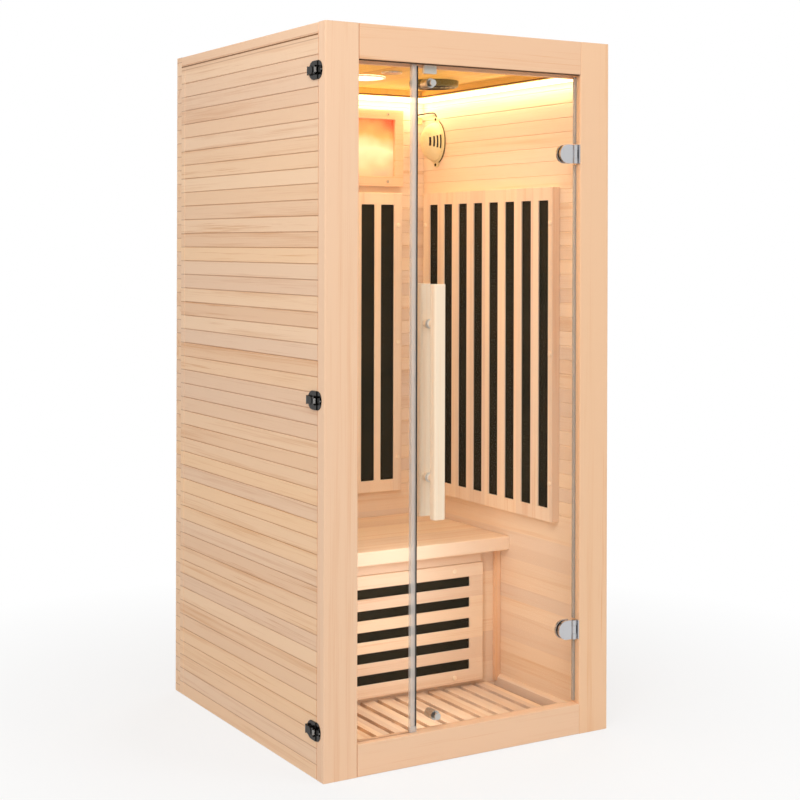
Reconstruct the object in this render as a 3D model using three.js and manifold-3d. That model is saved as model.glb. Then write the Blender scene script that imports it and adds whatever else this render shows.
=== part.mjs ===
// Infrared sauna cabin for one person: a wooden cabin with a glass front, a bench and slatted heaters.
// Sizes are in millimetres. +Z is up, the glass front faces -Y, and +X is on the right seen from the front.
// The origin is on the ground, under the middle of the cabin.

import * as THREE from "three";
import { mergeVertices } from "three/addons/utils/BufferGeometryUtils.js";
import Module from "manifold-3d";

const wasm = await Module();
wasm.setup();

// The whole cabin.
const WIDTH = 890;
const DEPTH = 950;
const HEIGHT = 1900;
const CLEAR = 0.3; // gap left wherever two pieces meet

// Walls: a thick panel of boards outside and a thin lining of boards inside.
const WALL_PANEL = 37;
const BACK_PANEL = 34;
const LINING = 8;
const BOARD = 40.5; // height of one board, from groove to groove
const TOP_BOARD = 55; // height of the uppermost board
const GROOVE = 2; // depth of the V between two boards
const REAR_STILE = 25; // plain upright at the rear end of each side wall
const ROOF_EDGE = 26; // height of the rim round the roof
const ROOF_RIM = 45; // width of that rim
const ROOF_SPACE = 12; // from the ceiling panel's top to the rim
const CEILING_PANEL = 22;

// Front frame: two posts, a header and a sill.
const FRAME = 38;
const POST = 97;
const HEADER = 90;
const SILL = 82;
const EDGE_ROUND = 4;
const LIP = 19; // pelmet behind the header, seen from above
const LIP_DROP = 7; // how far the pelmet hangs below the header
const LIP_LAP = 3; // how deep the pelmet is let into the header

// Floor.
const FLOOR = 14;
const BATTEN = 4;
const BATTEN_WIDTH = 40;
const DUCK = 12; // thickness of the foot slats
const DUCK_SLAT = 40;
const DUCK_GAP = 16;
const DUCK_MARGIN = 17;
const SKIRTING = 12; // batten at the foot of each side wall
const SKIRTING_HEIGHT = 34;

// Glass front: a narrow fixed pane on the left and a hinged door.
const GLASS = 8;
const GLASS_SET = 18; // how far the glass stands back from the front of the frame
const GLASS_REBATE = 8; // depth of the groove that holds the fixed pane
const FIXED_WIDTH = 176;
const DOOR_GAP = 6;
const DOOR_CLEAR = 4; // above and below the door
const JAMB_GAP = 2;
const SEAL_LAP = 10.5;
const SEAL_WALL = 1.4;
const SEAL_WEB = 2.7;

// Handles: a wooden bar on each side of the door, bolted to each other through the glass.
const HANDLE_INSET = 44.3; // from the free edge of the door to the middle of the bar
const HANDLE_WIDTH = 34;
const HANDLE_THICK = 26;
const HANDLE_LENGTH = 608;
const HANDLE_HEIGHT = 936; // middle of the bar above the ground
const HANDLE_STAND = 19; // finger room between the bar and the glass
const PEG_SPACING = 400;
const PEG_R = 10;
const BOLT_R = 4;
const BOLT_IN = 14; // how far each bolt goes into the outer bar

// Glass door hinges.
const HINGE_LOW = 200; // from the foot of the door
const HINGE_HIGH = 214; // from the top of the door
const HINGE_HEIGHT = 52;
const CLAMP_WIDTH = 43;
const CLAMP = 7;
const BACKPLATE = 6.7;
const LEAF = 3;
const KNUCKLE_R = 6.5;
const KNUCKLE_MIDDLE = 21.2;
const PIN_R = 3;
const HINGE_PLAY = 0.4;
const BOSS_R = 9;
const BOSS_FIT = 0.6; // room for the rubber bush round the boss

// Stops on the door and the magnetic catch under the header.
const STUD_INSET = { lower: 65, upper: 46 }; // from the free edge of the door
const CATCH_INSET = 46;
const STUD_R = 13;
const STUD_BODY = 34;
const STUD_CAP = 4;
const STUD_HIGH = 43; // below the top of the door
const STUD_LOW = 26; // above the foot of the door
const CATCH_WIDTH = 39;
const CATCH_DROP = 22;

// Twist latches that clamp each side wall to its front post.
const LATCH_HEIGHT = 48;
const LATCH_LENGTH = 46;
const LATCH_PLATE = 3;
const LATCH_END = 120; // from the ground and from the top
const LATCH_TONGUE = 19;
const HUB_R = 9;
const HUB_INSET = 20; // from the wall's front edge
const WING_LENGTH = 42;
const WING_THICK = 7;

// Bench.
const SEAT_TOP = 471;
const SEAT_BOARD = 41;
const SEAT_ROUND = 5;
const BENCH_DEPTH = 496;
const BENCH_OVERHANG = 58;
const BENCH_PANEL = 18;
const APRON = 34;
const APRON_PROUD = 20;
const CLEAT = 25;

// Heaters: a slatted wooden guard over a flat element.
const GUARD = 26;
const GUARD_SLAT = 5; // thickness of the slats
const GUARD_EDGE = 20; // solid rim round the space for the element
const GUARD_RAIL = 38;
const GUARD_ABOVE_SEAT = 81;
const GUARD_BELOW_PANEL = 20;
const SIDE_GUARD_FRONT = 126; // from the front frame
const SIDE_GUARD_BACK = 42; // from the back lining
const SIDE_GUARD_STILE = 21; // nearest the front
const SIDE_GUARD_STILE_END = 38; // nearest the back wall
const SIDE_GUARD_GAP = 48;
const SIDE_GUARD_GAPS = 8;
const BACK_GUARD_SIDE = 96; // from the side lining
const BACK_GUARD_STILE = 30.5;
const BACK_GUARD_GAP = 47;
const BACK_GUARD_GAPS = 8;
const CALF_GUARD_SIDE = 72;
const CALF_GUARD_LOW = 45;
const CALF_GUARD_STILE = 48;
const CALF_GUARD_RAIL = 39;
const CALF_GUARD_GAP = 27.5;
const CALF_GUARD_GAPS = 5;
const ELEMENT_SET = 1.5; // from the back of the slats to the element

// Light and sound.
const COVE = 24;
const COVE_HEIGHT = 22;
const LED = 12;
const LED_HEIGHT = 14;
const LAMP_R = 75;
const LAMP_CAN_R = 66;
const LAMP_FLANGE = 4;
const LAMP_BACK = 293; // from the back lining
const SPEAKER_R = 75;
const SPEAKER_CAN_R = 58;
const SPEAKER_DROP = 19;
const SPEAKER_SIDE = 150; // from the side lining
const SPEAKER_BACK = 303;
const COLOUR_HEIGHT = 247;
const COLOUR_SIDE = 89;
const COLOUR_BELOW_CEILING = 65;
const COLOUR_BORDER = 32;
const COLOUR_FRAME = 22;
const COLOUR_LENS = 8;
const COLOUR_REBATE = 6;

// Ioniser on the right wall.
const IONISER_BACK = 84;
const IONISER_BELOW_CEILING = 168;
const IONISER_WIDTH = 98;
const IONISER_HEIGHT = 134;
const IONISER_OUT = 58;
const IONISER_BASE = 9;
const IONISER_EAR = 13;
const IONISER_SLOT = 6; // four slots on the side that faces the door
const IONISER_SLOT_PITCH = 10;
const IONISER_SLOT_LONG = 44;
const LEAD_R = 2.2;

// Control box on the roof.
const BOX_WIDTH = 300;
const BOX_DEPTH = 190;
const BOX_HEIGHT = 34;
const BOX_BACK = 90;
const GLAND_R = 9;
const GLAND = 18;

// Places that follow from the sizes above.
const HALF = WIDTH / 2;
const FRONT = -DEPTH / 2;
const BACK = DEPTH / 2;
const FRAME_BACK = FRONT + FRAME;
const PANEL_IN = HALF - WALL_PANEL;
const INNER_X = PANEL_IN - LINING;
const BACK_IN = BACK - BACK_PANEL;
const INNER_Y = BACK_IN - LINING;
const OPEN = HALF - POST;
const HEAD_Z = HEIGHT - HEADER;
const WALL_TOP = HEIGHT - ROOF_EDGE;
const CEILING_TOP = WALL_TOP - ROOF_SPACE;
const CEILING = CEILING_TOP - CEILING_PANEL;
const LIP_BACK = FRAME_BACK + LIP;
const GLASS_F = FRONT + GLASS_SET;
const GLASS_B = GLASS_F + GLASS;
const FIXED_X = -OPEN + FIXED_WIDTH;
const DOOR_L = FIXED_X + DOOR_GAP;
const DOOR_R = OPEN - JAMB_GAP;
const DOOR_LOW = SILL + DOOR_CLEAR;
const DOOR_TOP = HEAD_Z - DOOR_CLEAR;
const HANDLE_X = DOOR_L + HANDLE_INSET;
const SEAT_LOW = SEAT_TOP - SEAT_BOARD;
const BENCH_Y = INNER_Y - BENCH_DEPTH + BENCH_OVERHANG;
const COLOUR_TOP = CEILING - COLOUR_BELOW_CEILING;
const COLOUR_LOW = COLOUR_TOP - COLOUR_HEIGHT;
const COVE_LOW = CEILING - COVE_HEIGHT;
const AXIS_X = OPEN - CLEAR - LEAF - HINGE_PLAY - KNUCKLE_R;
const AXIS_Y = GLASS_F - 1 - KNUCKLE_R;
const ROUND = 20; // flats round a turned piece

// A closed solid from a three.js geometry: corners are welded and empty triangles dropped.
function solid(geometry) {
  const loose = geometry.index ? geometry.toNonIndexed() : geometry;
  const bare = new THREE.BufferGeometry();
  bare.setAttribute("position", loose.getAttribute("position"));
  const welded = mergeVertices(bare, 1e-4);
  const corners = welded.index.array;
  const kept = [];
  for (let i = 0; i < corners.length; i += 3) {
    const [a, b, c] = [corners[i], corners[i + 1], corners[i + 2]];
    if (a !== b && b !== c && c !== a) kept.push(a, b, c);
  }
  const vertProperties = new Float32Array(welded.getAttribute("position").array);
  const triVerts = new Uint32Array(kept);
  return new wasm.Manifold(new wasm.Mesh({ numProp: 3, vertProperties, triVerts }));
}

function join(first, ...others) {
  return others.reduce((whole, piece) => whole.add(piece), first);
}

function cut(first, ...others) {
  return others.reduce((whole, piece) => whole.subtract(piece), first);
}

function box(x0, x1, y0, y1, z0, z1) {
  const geometry = new THREE.BoxGeometry(x1 - x0, y1 - y0, z1 - z0);
  geometry.translate((x0 + x1) / 2, (y0 + y1) / 2, (z0 + z1) / 2);
  return solid(geometry);
}

// A flat outline pushed along one axis. Outlines are drawn in (x, y) for z, (y, z) for x and (x, z) for y.
function prism(outline, axis, from, to) {
  const geometry = new THREE.ExtrudeGeometry(outline, {
    depth: to - from,
    bevelEnabled: false,
    curveSegments: 5,
  });
  const X = new THREE.Vector3(1, 0, 0);
  const Y = new THREE.Vector3(0, 1, 0);
  const Z = new THREE.Vector3(0, 0, 1);
  if (axis === "z") geometry.translate(0, 0, from);
  if (axis === "x") {
    geometry.applyMatrix4(new THREE.Matrix4().makeBasis(Y, Z, X));
    geometry.translate(from, 0, 0);
  }
  if (axis === "y") {
    geometry.applyMatrix4(new THREE.Matrix4().makeBasis(X, Z, Y.negate()));
    geometry.translate(0, to, 0);
  }
  return solid(geometry);
}

function outline(points) {
  return new THREE.Shape(points.map(([u, v]) => new THREE.Vector2(u, v)));
}

function rounded(u0, u1, v0, v1, r) {
  const shape = new THREE.Shape();
  shape.moveTo(u0 + r, v0);
  shape.lineTo(u1 - r, v0);
  shape.absarc(u1 - r, v0 + r, r, -Math.PI / 2, 0);
  shape.lineTo(u1, v1 - r);
  shape.absarc(u1 - r, v1 - r, r, 0, Math.PI / 2);
  shape.lineTo(u0 + r, v1);
  shape.absarc(u0 + r, v1 - r, r, Math.PI / 2, Math.PI);
  shape.lineTo(u0, v0 + r);
  shape.absarc(u0 + r, v0 + r, r, Math.PI, Math.PI * 1.5);
  return shape;
}

function disc(u, v, ru, rv = ru, count = ROUND) {
  const points = [];
  for (let i = 0; i < count; i++) {
    const a = (2 * Math.PI * i) / count;
    points.push([u + ru * Math.cos(a), v + rv * Math.sin(a)]);
  }
  return outline(points);
}

// A turned piece about a vertical line through (x, y); the profile lists (radius, height) from below.
function turned(profile, x, y) {
  const points = profile.map(([r, z]) => new THREE.Vector2(r, z));
  const geometry = new THREE.LatheGeometry(points, ROUND);
  geometry.rotateX(Math.PI / 2);
  geometry.translate(x, y, 0);
  return solid(geometry);
}

// The boarded face of a panel, from its top down: (depth, height) pairs with a V under every board.
function boards(top, low, plainBelow = low) {
  const face = [[0, top]];
  for (let at = top - TOP_BOARD; at > plainBelow + BOARD / 3; at -= BOARD) {
    face.push([0, at + GROOVE], [GROOVE, at], [0, at - GROOVE]);
  }
  face.push([0, low]);
  return face;
}

const cabin = new THREE.Group();
cabin.name = "infrared_sauna_cabin";
const leftSide = new THREE.Group(); // what stands on the left is the right side seen in a mirror
leftSide.name = "left_side";
leftSide.scale.x = -1;
cabin.add(leftSide);

const FINISH = {
  boards: [0xe2c4a0, 0.62, 0],
  lining: [0xe6c294, 0.6, 0],
  frame: [0xf0d0b0, 0.55, 0],
  bench: [0xe8c89c, 0.55, 0],
  guard: [0xe9c79a, 0.58, 0],
  floor: [0xcfa878, 0.65, 0],
  handle: [0xf2dac0, 0.5, 0],
  glass: [0xdde8e6, 0.05, 0],
  seal: [0xd5dcda, 0.25, 0],
  chrome: [0x9a9c9e, 0.22, 1],
  black: [0x1c1c1c, 0.5, 0],
  white: [0xf2f2ee, 0.45, 0],
  heater: [0x2e281c, 0.7, 0],
  glow: [0xfff2d0, 0.4, 0],
  colours: [0xff9a5c, 0.3, 0],
  speaker: [0x4a4632, 0.6, 0.3],
};

function add(name, made, finish, group = cabin) {
  const mesh = made.getMesh();
  const places = new Float32Array(mesh.numVert * 3);
  for (let i = 0; i < mesh.numVert; i++) {
    const at = i * mesh.numProp;
    places.set(mesh.vertProperties.subarray(at, at + 3), i * 3);
  }
  const geometry = new THREE.BufferGeometry();
  geometry.setAttribute("position", new THREE.BufferAttribute(places, 3));
  geometry.setIndex(new THREE.BufferAttribute(new Uint32Array(mesh.triVerts), 1));
  geometry.computeVertexNormals();
  const [color, roughness, metalness] = FINISH[finish];
  const material = new THREE.MeshStandardMaterial({ color, roughness, metalness });
  if (finish === "glass") {
    material.transparent = true;
    material.opacity = 0.3;
  }
  const node = new THREE.Mesh(geometry, material);
  node.name = name;
  group.add(node);
}

// Floor: a base board that carries the linings, and a foot grid of slats running front to back.
const floorY0 = FRAME_BACK + CLEAR;
const floorY1 = BACK_IN - CLEAR;
add(
  "floor_base",
  box(-PANEL_IN + CLEAR, PANEL_IN - CLEAR, floorY0, floorY1, 0, FLOOR),
  "floor",
);

const duckY0 = FRAME_BACK + 7;
const duckY1 = BENCH_Y - 3;
const duckSpan = 2 * (INNER_X - DUCK_MARGIN);
const duckPitch = DUCK_SLAT + DUCK_GAP;
const duckCount = Math.floor((duckSpan + DUCK_GAP) / duckPitch);
const duckHalf = (duckCount * duckPitch - DUCK_GAP) / 2;
const slatLow = FLOOR + BATTEN;
const duckPieces = [];
for (const part of [0.12, 0.5, 0.88]) {
  const y = duckY0 + part * (duckY1 - duckY0);
  const y0 = y - BATTEN_WIDTH / 2;
  duckPieces.push(box(-duckHalf, duckHalf, y0, y0 + BATTEN_WIDTH, FLOOR + CLEAR, slatLow + 1));
}
for (let i = 0; i < duckCount; i++) {
  const x = -duckHalf + i * duckPitch;
  duckPieces.push(box(x, x + DUCK_SLAT, duckY0, duckY1, slatLow, slatLow + DUCK));
}
add("floor_duckboard", join(...duckPieces), "floor");

// Side walls of level boards, made for the right and mirrored for the left. The boards end at a plain stile.
const wallY0 = FRAME_BACK + CLEAR;
const wallY1 = BACK_IN - CLEAR;
const stileY = BACK_IN - REAR_STILE;
const wallFace = boards(WALL_TOP, 0).map(([d, z]) => [HALF - d, z]);
const wallOutline = outline([[PANEL_IN, 0], [PANEL_IN, WALL_TOP], ...wallFace]);
const stileGroove = outline([
  [HALF + GROOVE, stileY - 2 * GROOVE],
  [HALF + GROOVE, stileY + 2 * GROOVE],
  [HALF - GROOVE, stileY],
]);
const wall = cut(
  join(
    prism(wallOutline, "y", wallY0, stileY),
    box(PANEL_IN, HALF, stileY - GROOVE / 2, wallY1, 0, WALL_TOP),
  ),
  prism(stileGroove, "z", -1, WALL_TOP + 1),
);
const liningTop = CEILING - CLEAR;
const liningLow = FLOOR + CLEAR;
const liningPlain = SEAT_TOP + GUARD_ABOVE_SEAT; // below the heaters the lining is plain
const liningBoards = boards(liningTop, liningLow, liningPlain);
const liningOutline = outline([
  [PANEL_IN - CLEAR, liningLow],
  [PANEL_IN - CLEAR, liningTop],
  ...liningBoards.map(([d, z]) => [INNER_X + d, z]),
]);
const skirtingOutline = outline([
  [INNER_X - SKIRTING, liningLow],
  [INNER_X + GROOVE, liningLow],
  [INNER_X + GROOVE, liningLow + SKIRTING_HEIGHT],
  [INNER_X - SKIRTING / 3, liningLow + SKIRTING_HEIGHT],
  [INNER_X - SKIRTING, liningLow + SKIRTING_HEIGHT - (SKIRTING * 2) / 3],
]);
const lining = join(
  prism(liningOutline, "y", wallY0, INNER_Y - CLEAR),
  prism(skirtingOutline, "y", wallY0 + LIP, BENCH_Y - CLEAR),
);
for (const [side, group] of [["right", cabin], ["left", leftSide]]) {
  add(side + "_wall_cladding", wall, "boards", group);
  add(side + "_wall_lining", lining, "lining", group);
}

// Back wall: it closes the full width and height.
const backHalf = PANEL_IN - CLEAR;
const backFace = boards(HEIGHT, 0).map(([d, z]) => [BACK - d, z]);
const backOutline = outline([[BACK_IN, 0], [BACK_IN, HEIGHT], ...backFace]);
add("back_wall_cladding", prism(backOutline, "x", -HALF, HALF), "boards");
const backLiningOutline = outline([
  [BACK_IN - CLEAR, liningLow],
  [BACK_IN - CLEAR, liningTop],
  ...liningBoards.map(([d, z]) => [INNER_Y + d, z]),
]);
add("back_wall_lining", prism(backLiningOutline, "x", -backHalf, backHalf), "lining");

// Front frame. The left post, the header and the sill are grooved for the fixed pane.
const grooveY0 = GLASS_F - CLEAR;
const grooveY1 = GLASS_B + CLEAR;
const grooveLow = SILL - GLASS_REBATE;
const grooveTop = HEAD_Z + GLASS_REBATE;
const paneGroove = box(
  -OPEN - GLASS_REBATE,
  FIXED_X + CLEAR,
  grooveY0,
  grooveY1,
  grooveLow,
  grooveTop,
);
const postOutline = rounded(OPEN, HALF, FRONT, FRAME_BACK, EDGE_ROUND);
const leftPostOutline = rounded(-HALF, -OPEN, FRONT, FRAME_BACK, EDGE_ROUND);
add("front_right_post", prism(postOutline, "z", 0, HEIGHT), "frame");
add("front_left_post", cut(prism(leftPostOutline, "z", 0, HEIGHT), paneGroove), "frame");

const railHalf = OPEN - CLEAR;
const lipHalf = INNER_X - CLEAR;
const headerOutline = rounded(FRONT, FRAME_BACK, HEAD_Z, HEIGHT, EDGE_ROUND / 2);
const header = join(
  prism(headerOutline, "x", -railHalf, railHalf),
  box(-lipHalf, lipHalf, FRAME_BACK + CLEAR, LIP_BACK, HEAD_Z - LIP_DROP, CEILING - CLEAR),
  box(
    -railHalf,
    railHalf,
    FRAME_BACK - LIP_LAP,
    FRAME_BACK + LIP / 2,
    HEAD_Z + LIP_LAP,
    CEILING - CLEAR,
  ),
);
add("header_rail", cut(header, paneGroove), "frame");
const sillOutline = rounded(FRONT, FRAME_BACK, 0, SILL, EDGE_ROUND / 2);
add("sill_rail", cut(prism(sillOutline, "x", -railHalf, railHalf), paneGroove), "frame");

// Roof: a rim on the walls, and inside it a ceiling that rests on the linings and carries the cove.
const rimOutline = outline([
  [-HALF, wallY0],
  [HALF, wallY0],
  [HALF, wallY1],
  [-HALF, wallY1],
]);
rimOutline.holes.push(
  outline([
    [-HALF + ROOF_RIM, wallY0 + ROOF_RIM],
    [-HALF + ROOF_RIM, wallY1 - ROOF_RIM],
    [HALF - ROOF_RIM, wallY1 - ROOF_RIM],
    [HALF - ROOF_RIM, wallY0 + ROOF_RIM],
  ]),
);
add("roof_rim", prism(rimOutline, "z", WALL_TOP + CLEAR, HEIGHT), "frame");

// A strip that runs along the left, back and right walls under the ceiling, open to the front.
function wallStrip(width, z0, z1) {
  const x1 = INNER_X - CLEAR;
  const y0 = LIP_BACK + CLEAR;
  const y1 = INNER_Y - CLEAR;
  const shape = outline([
    [-x1, y0],
    [-x1 + width, y0],
    [-x1 + width, y1 - width],
    [x1 - width, y1 - width],
    [x1 - width, y0],
    [x1, y0],
    [x1, y1],
    [-x1, y1],
  ]);
  return prism(shape, "z", z0, z1);
}

const lampY = INNER_Y - LAMP_BACK;
const speakerX = INNER_X - SPEAKER_SIDE;
const speakerY = INNER_Y - SPEAKER_BACK;
const ceilingHoles = [
  prism(disc(0, lampY, LAMP_CAN_R + CLEAR), "z", CEILING - 1, CEILING_TOP + 1),
  prism(disc(speakerX, speakerY, SPEAKER_CAN_R + CLEAR), "z", CEILING - 1, CEILING_TOP + 1),
  prism(disc(-speakerX, speakerY, SPEAKER_CAN_R + CLEAR), "z", CEILING - 1, CEILING_TOP + 1),
];
const ceilingBoard = box(-backHalf, backHalf, floorY0, floorY1, CEILING, CEILING_TOP);
const ceiling = join(ceilingBoard, wallStrip(COVE, COVE_LOW, CEILING + 1));
add("ceiling_panel", cut(ceiling, ...ceilingHoles), "lining");
add("led_strip", wallStrip(LED, COVE_LOW - CLEAR - LED_HEIGHT, COVE_LOW - CLEAR), "glow");

const lampProfile = [
  [0, CEILING - CLEAR - LAMP_FLANGE],
  [LAMP_R - 2, CEILING - CLEAR - LAMP_FLANGE],
  [LAMP_R, CEILING - CLEAR - LAMP_FLANGE / 2],
  [LAMP_R, CEILING - CLEAR],
  [LAMP_CAN_R, CEILING - CLEAR],
  [LAMP_CAN_R, CEILING_TOP - 1],
  [0, CEILING_TOP - 1],
];
add("ceiling_lamp", turned(lampProfile, 0, lampY), "glow");
const speakerProfile = [
  [0, CEILING - CLEAR - SPEAKER_DROP],
  [SPEAKER_R - 4, CEILING - CLEAR - SPEAKER_DROP],
  [SPEAKER_R, CEILING - CLEAR - SPEAKER_DROP + 4],
  [SPEAKER_R, CEILING - CLEAR],
  [SPEAKER_CAN_R, CEILING - CLEAR],
  [SPEAKER_CAN_R, CEILING_TOP - 1],
  [0, CEILING_TOP - 1],
];
add("right_speaker", turned(speakerProfile, speakerX, speakerY), "speaker");
add("left_speaker", turned(speakerProfile, speakerX, speakerY), "speaker", leftSide);

// Control box on the ceiling panel, with a gland where the supply cable would enter.
const boxY1 = wallY1 - ROOF_RIM - BOX_BACK;
const boxY0 = boxY1 - BOX_DEPTH;
const boxLow = CEILING_TOP + CLEAR;
const boxOutline = rounded(-BOX_WIDTH / 2, BOX_WIDTH / 2, boxY0, boxY1, 8);
const glandZ = boxLow + BOX_HEIGHT / 2;
const gland = prism(disc(BOX_WIDTH / 4, glandZ, GLAND_R), "y", boxY1 - 2, boxY1 + GLAND);
const vents = [-3, -2, -1, 0, 1, 2, 3].map((i) =>
  box(i * 14 - 3, i * 14 + 3, boxY0 + 40, boxY1 - 40, boxLow + BOX_HEIGHT - 4, boxLow + BOX_HEIGHT + 1),
);
add(
  "control_box",
  cut(join(prism(boxOutline, "z", boxLow, boxLow + BOX_HEIGHT), gland), ...vents),
  "black",
);

// Ioniser: an oval foot on the right wall, a domed body with slots towards the front, and screw ears.
const ionY = INNER_Y - IONISER_BACK;
const ionZ = CEILING - IONISER_BELOW_CEILING;
const ionX = INNER_X - CLEAR;
const ionEarZ = IONISER_HEIGHT / 2 + IONISER_EAR;
const domeShape = new THREE.SphereGeometry(1, 24, 14);
domeShape.scale(IONISER_OUT - 3, IONISER_WIDTH / 2 - 3, IONISER_HEIGHT / 2 - 3);
domeShape.translate(ionX - 3, ionY, ionZ);
const domeSide = box(
  ionX - 2 * IONISER_OUT,
  ionX - 2,
  ionY - IONISER_WIDTH,
  ionY + IONISER_WIDTH,
  ionZ - IONISER_HEIGHT,
  ionZ + IONISER_HEIGHT,
);
const foot = disc(ionY, ionZ, IONISER_WIDTH / 2, IONISER_HEIGHT / 2);
const ears = rounded(ionY - 13, ionY + 13, ionZ - ionEarZ, ionZ + ionEarZ, 10);
const slots = [0, 1, 2, 3].map((i) => {
  const x = ionX - IONISER_BASE - 2 - i * IONISER_SLOT_PITCH;
  const z = IONISER_SLOT_LONG * (0.5 - 0.06 * i);
  return box(x - IONISER_SLOT, x, ionY - IONISER_WIDTH, ionY - IONISER_WIDTH * 0.1, ionZ - z, ionZ + z);
});
const slotDepth = new THREE.SphereGeometry(1, 24, 14);
slotDepth.scale(IONISER_OUT - 9, IONISER_WIDTH / 2 - 9, IONISER_HEIGHT / 2 - 9);
slotDepth.translate(ionX - 3, ionY, ionZ);
const slotCut = cut(join(...slots), solid(slotDepth));
const ioniser = join(
  prism(foot, "x", ionX - IONISER_BASE, ionX),
  prism(ears, "x", ionX - IONISER_BASE + 3, ionX),
  solid(domeShape).intersect(domeSide),
);
add("ioniser", cut(ioniser, slotCut), "white");

// Its lead leaves the back wall, turns the corner and ends on the top ear.
const leadX = ionX - IONISER_BASE / 2 + 1.5;
const leadTop = ionZ + ionEarZ + CLEAR;
const leadPath = new THREE.CatmullRomCurve3([
  new THREE.Vector3(leadX - 24, INNER_Y - CLEAR, leadTop + 9),
  new THREE.Vector3(leadX - 23, INNER_Y - 9, leadTop + 11),
  new THREE.Vector3(leadX - 9, INNER_Y - 18, leadTop + 14),
  new THREE.Vector3(leadX - 3, ionY + 26, leadTop + 15),
  new THREE.Vector3(leadX - 1, ionY + 8, leadTop + 12),
  new THREE.Vector3(leadX, ionY, leadTop),
]);
const leadGeometry = new THREE.ExtrudeGeometry(disc(0, 0, LEAD_R, LEAD_R, 7), {
  steps: 18,
  bevelEnabled: false,
  extrudePath: leadPath,
});
const leadRoom = box(0, ionX - 0.2, 0, INNER_Y - CLEAR, leadTop, CEILING);
add("ioniser_lead", solid(leadGeometry).intersect(leadRoom), "white");

// Colour light on the back wall: a frame with a lens held in a rebate behind it.
const colourHalf = INNER_X - COLOUR_SIDE;
const colourY1 = INNER_Y - CLEAR;
const colourY0 = colourY1 - COLOUR_FRAME;
const lensHalf = colourHalf - COLOUR_BORDER + COLOUR_REBATE;
const lensLow = COLOUR_LOW + COLOUR_BORDER - COLOUR_REBATE;
const lensTop = COLOUR_TOP - COLOUR_BORDER + COLOUR_REBATE;
const lensY0 = colourY1 - COLOUR_LENS - CLEAR;
add(
  "colour_panel_frame",
  cut(
    box(-colourHalf, colourHalf, colourY0, colourY1, COLOUR_LOW, COLOUR_TOP),
    box(
      -colourHalf + COLOUR_BORDER,
      colourHalf - COLOUR_BORDER,
      colourY0 - 1,
      colourY1 + 1,
      COLOUR_LOW + COLOUR_BORDER,
      COLOUR_TOP - COLOUR_BORDER,
    ),
    box(-lensHalf, lensHalf, lensY0 - CLEAR, colourY1 + 1, lensLow, lensTop),
  ),
  "frame",
);
add(
  "colour_panel_lens",
  box(
    -lensHalf + CLEAR,
    lensHalf - CLEAR,
    lensY0,
    lensY0 + COLOUR_LENS,
    lensLow + CLEAR,
    lensTop - CLEAR,
  ),
  "colours",
);

// Heaters. A guard is drawn in its own plane: u along the wall, v upwards, w from its face to the wall.
function block(axis, u0, u1, v0, v1, w0, w1) {
  return axis === "x" ? box(w0, w1, u0, u1, v0, v1) : box(u0, u1, w0, w1, v0, v1);
}

function heater(name, axis, u0, u1, v0, v1, wall, grid, group = cabin) {
  const w1 = wall - CLEAR;
  const w0 = w1 - GUARD;
  const cuts = [
    block(
      axis,
      u0 + GUARD_EDGE,
      u1 - GUARD_EDGE,
      v0 + GUARD_EDGE,
      v1 - GUARD_EDGE,
      w0 + GUARD_SLAT,
      w1 + 1,
    ),
  ];
  const upright = grid.run === "up";
  const [a0, a1] = upright ? [u0 + grid.stile, u1 - grid.stileEnd] : [v0 + grid.rail, v1 - grid.rail];
  const [b0, b1] = upright ? [v0 + grid.rail, v1 - grid.rail] : [u0 + grid.stile, u1 - grid.stileEnd];
  const pitch = (a1 - a0 - grid.gap) / (grid.gaps - 1);
  for (let i = 0; i < grid.gaps; i++) {
    const a = a0 + i * pitch;
    const place = upright ? [a, a + grid.gap, b0, b1] : [b0, b1, a, a + grid.gap];
    cuts.push(block(axis, ...place, w0 - 1, w1));
  }
  add(name + "_heater_guard", cut(block(axis, u0, u1, v0, v1, w0, w1), ...cuts), "guard", group);
  const inset = GUARD_EDGE + CLEAR;
  add(
    name + "_heater_element",
    block(axis, u0 + inset, u1 - inset, v0 + inset, v1 - inset, w0 + GUARD_SLAT + ELEMENT_SET, w1),
    "heater",
    group,
  );
}

const guardLow = SEAT_TOP + GUARD_ABOVE_SEAT;
const guardTop = COLOUR_LOW - GUARD_BELOW_PANEL;
const sideGrid = {
  run: "up",
  stile: SIDE_GUARD_STILE,
  stileEnd: SIDE_GUARD_STILE_END,
  rail: GUARD_RAIL,
  gap: SIDE_GUARD_GAP,
  gaps: SIDE_GUARD_GAPS,
};
const backGrid = {
  run: "up",
  stile: BACK_GUARD_STILE,
  stileEnd: BACK_GUARD_STILE,
  rail: GUARD_RAIL,
  gap: BACK_GUARD_GAP,
  gaps: BACK_GUARD_GAPS,
};
const calfGrid = {
  run: "along",
  stile: CALF_GUARD_STILE,
  stileEnd: CALF_GUARD_STILE,
  rail: CALF_GUARD_RAIL,
  gap: CALF_GUARD_GAP,
  gaps: CALF_GUARD_GAPS,
};
const sideY0 = FRAME_BACK + SIDE_GUARD_FRONT;
const sideY1 = INNER_Y - SIDE_GUARD_BACK;
heater("right", "x", sideY0, sideY1, guardLow, guardTop, INNER_X, sideGrid);
heater("left", "x", sideY0, sideY1, guardLow, guardTop, INNER_X, sideGrid, leftSide);
const backGuardHalf = INNER_X - BACK_GUARD_SIDE;
heater("back", "y", -backGuardHalf, backGuardHalf, guardLow, guardTop, INNER_Y, backGrid);
const calfHalf = INNER_X - CALF_GUARD_SIDE;
const calfTop = SEAT_LOW - APRON;
heater("calf", "y", -calfHalf, calfHalf, CALF_GUARD_LOW, calfTop, BENCH_Y, calfGrid);

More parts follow.
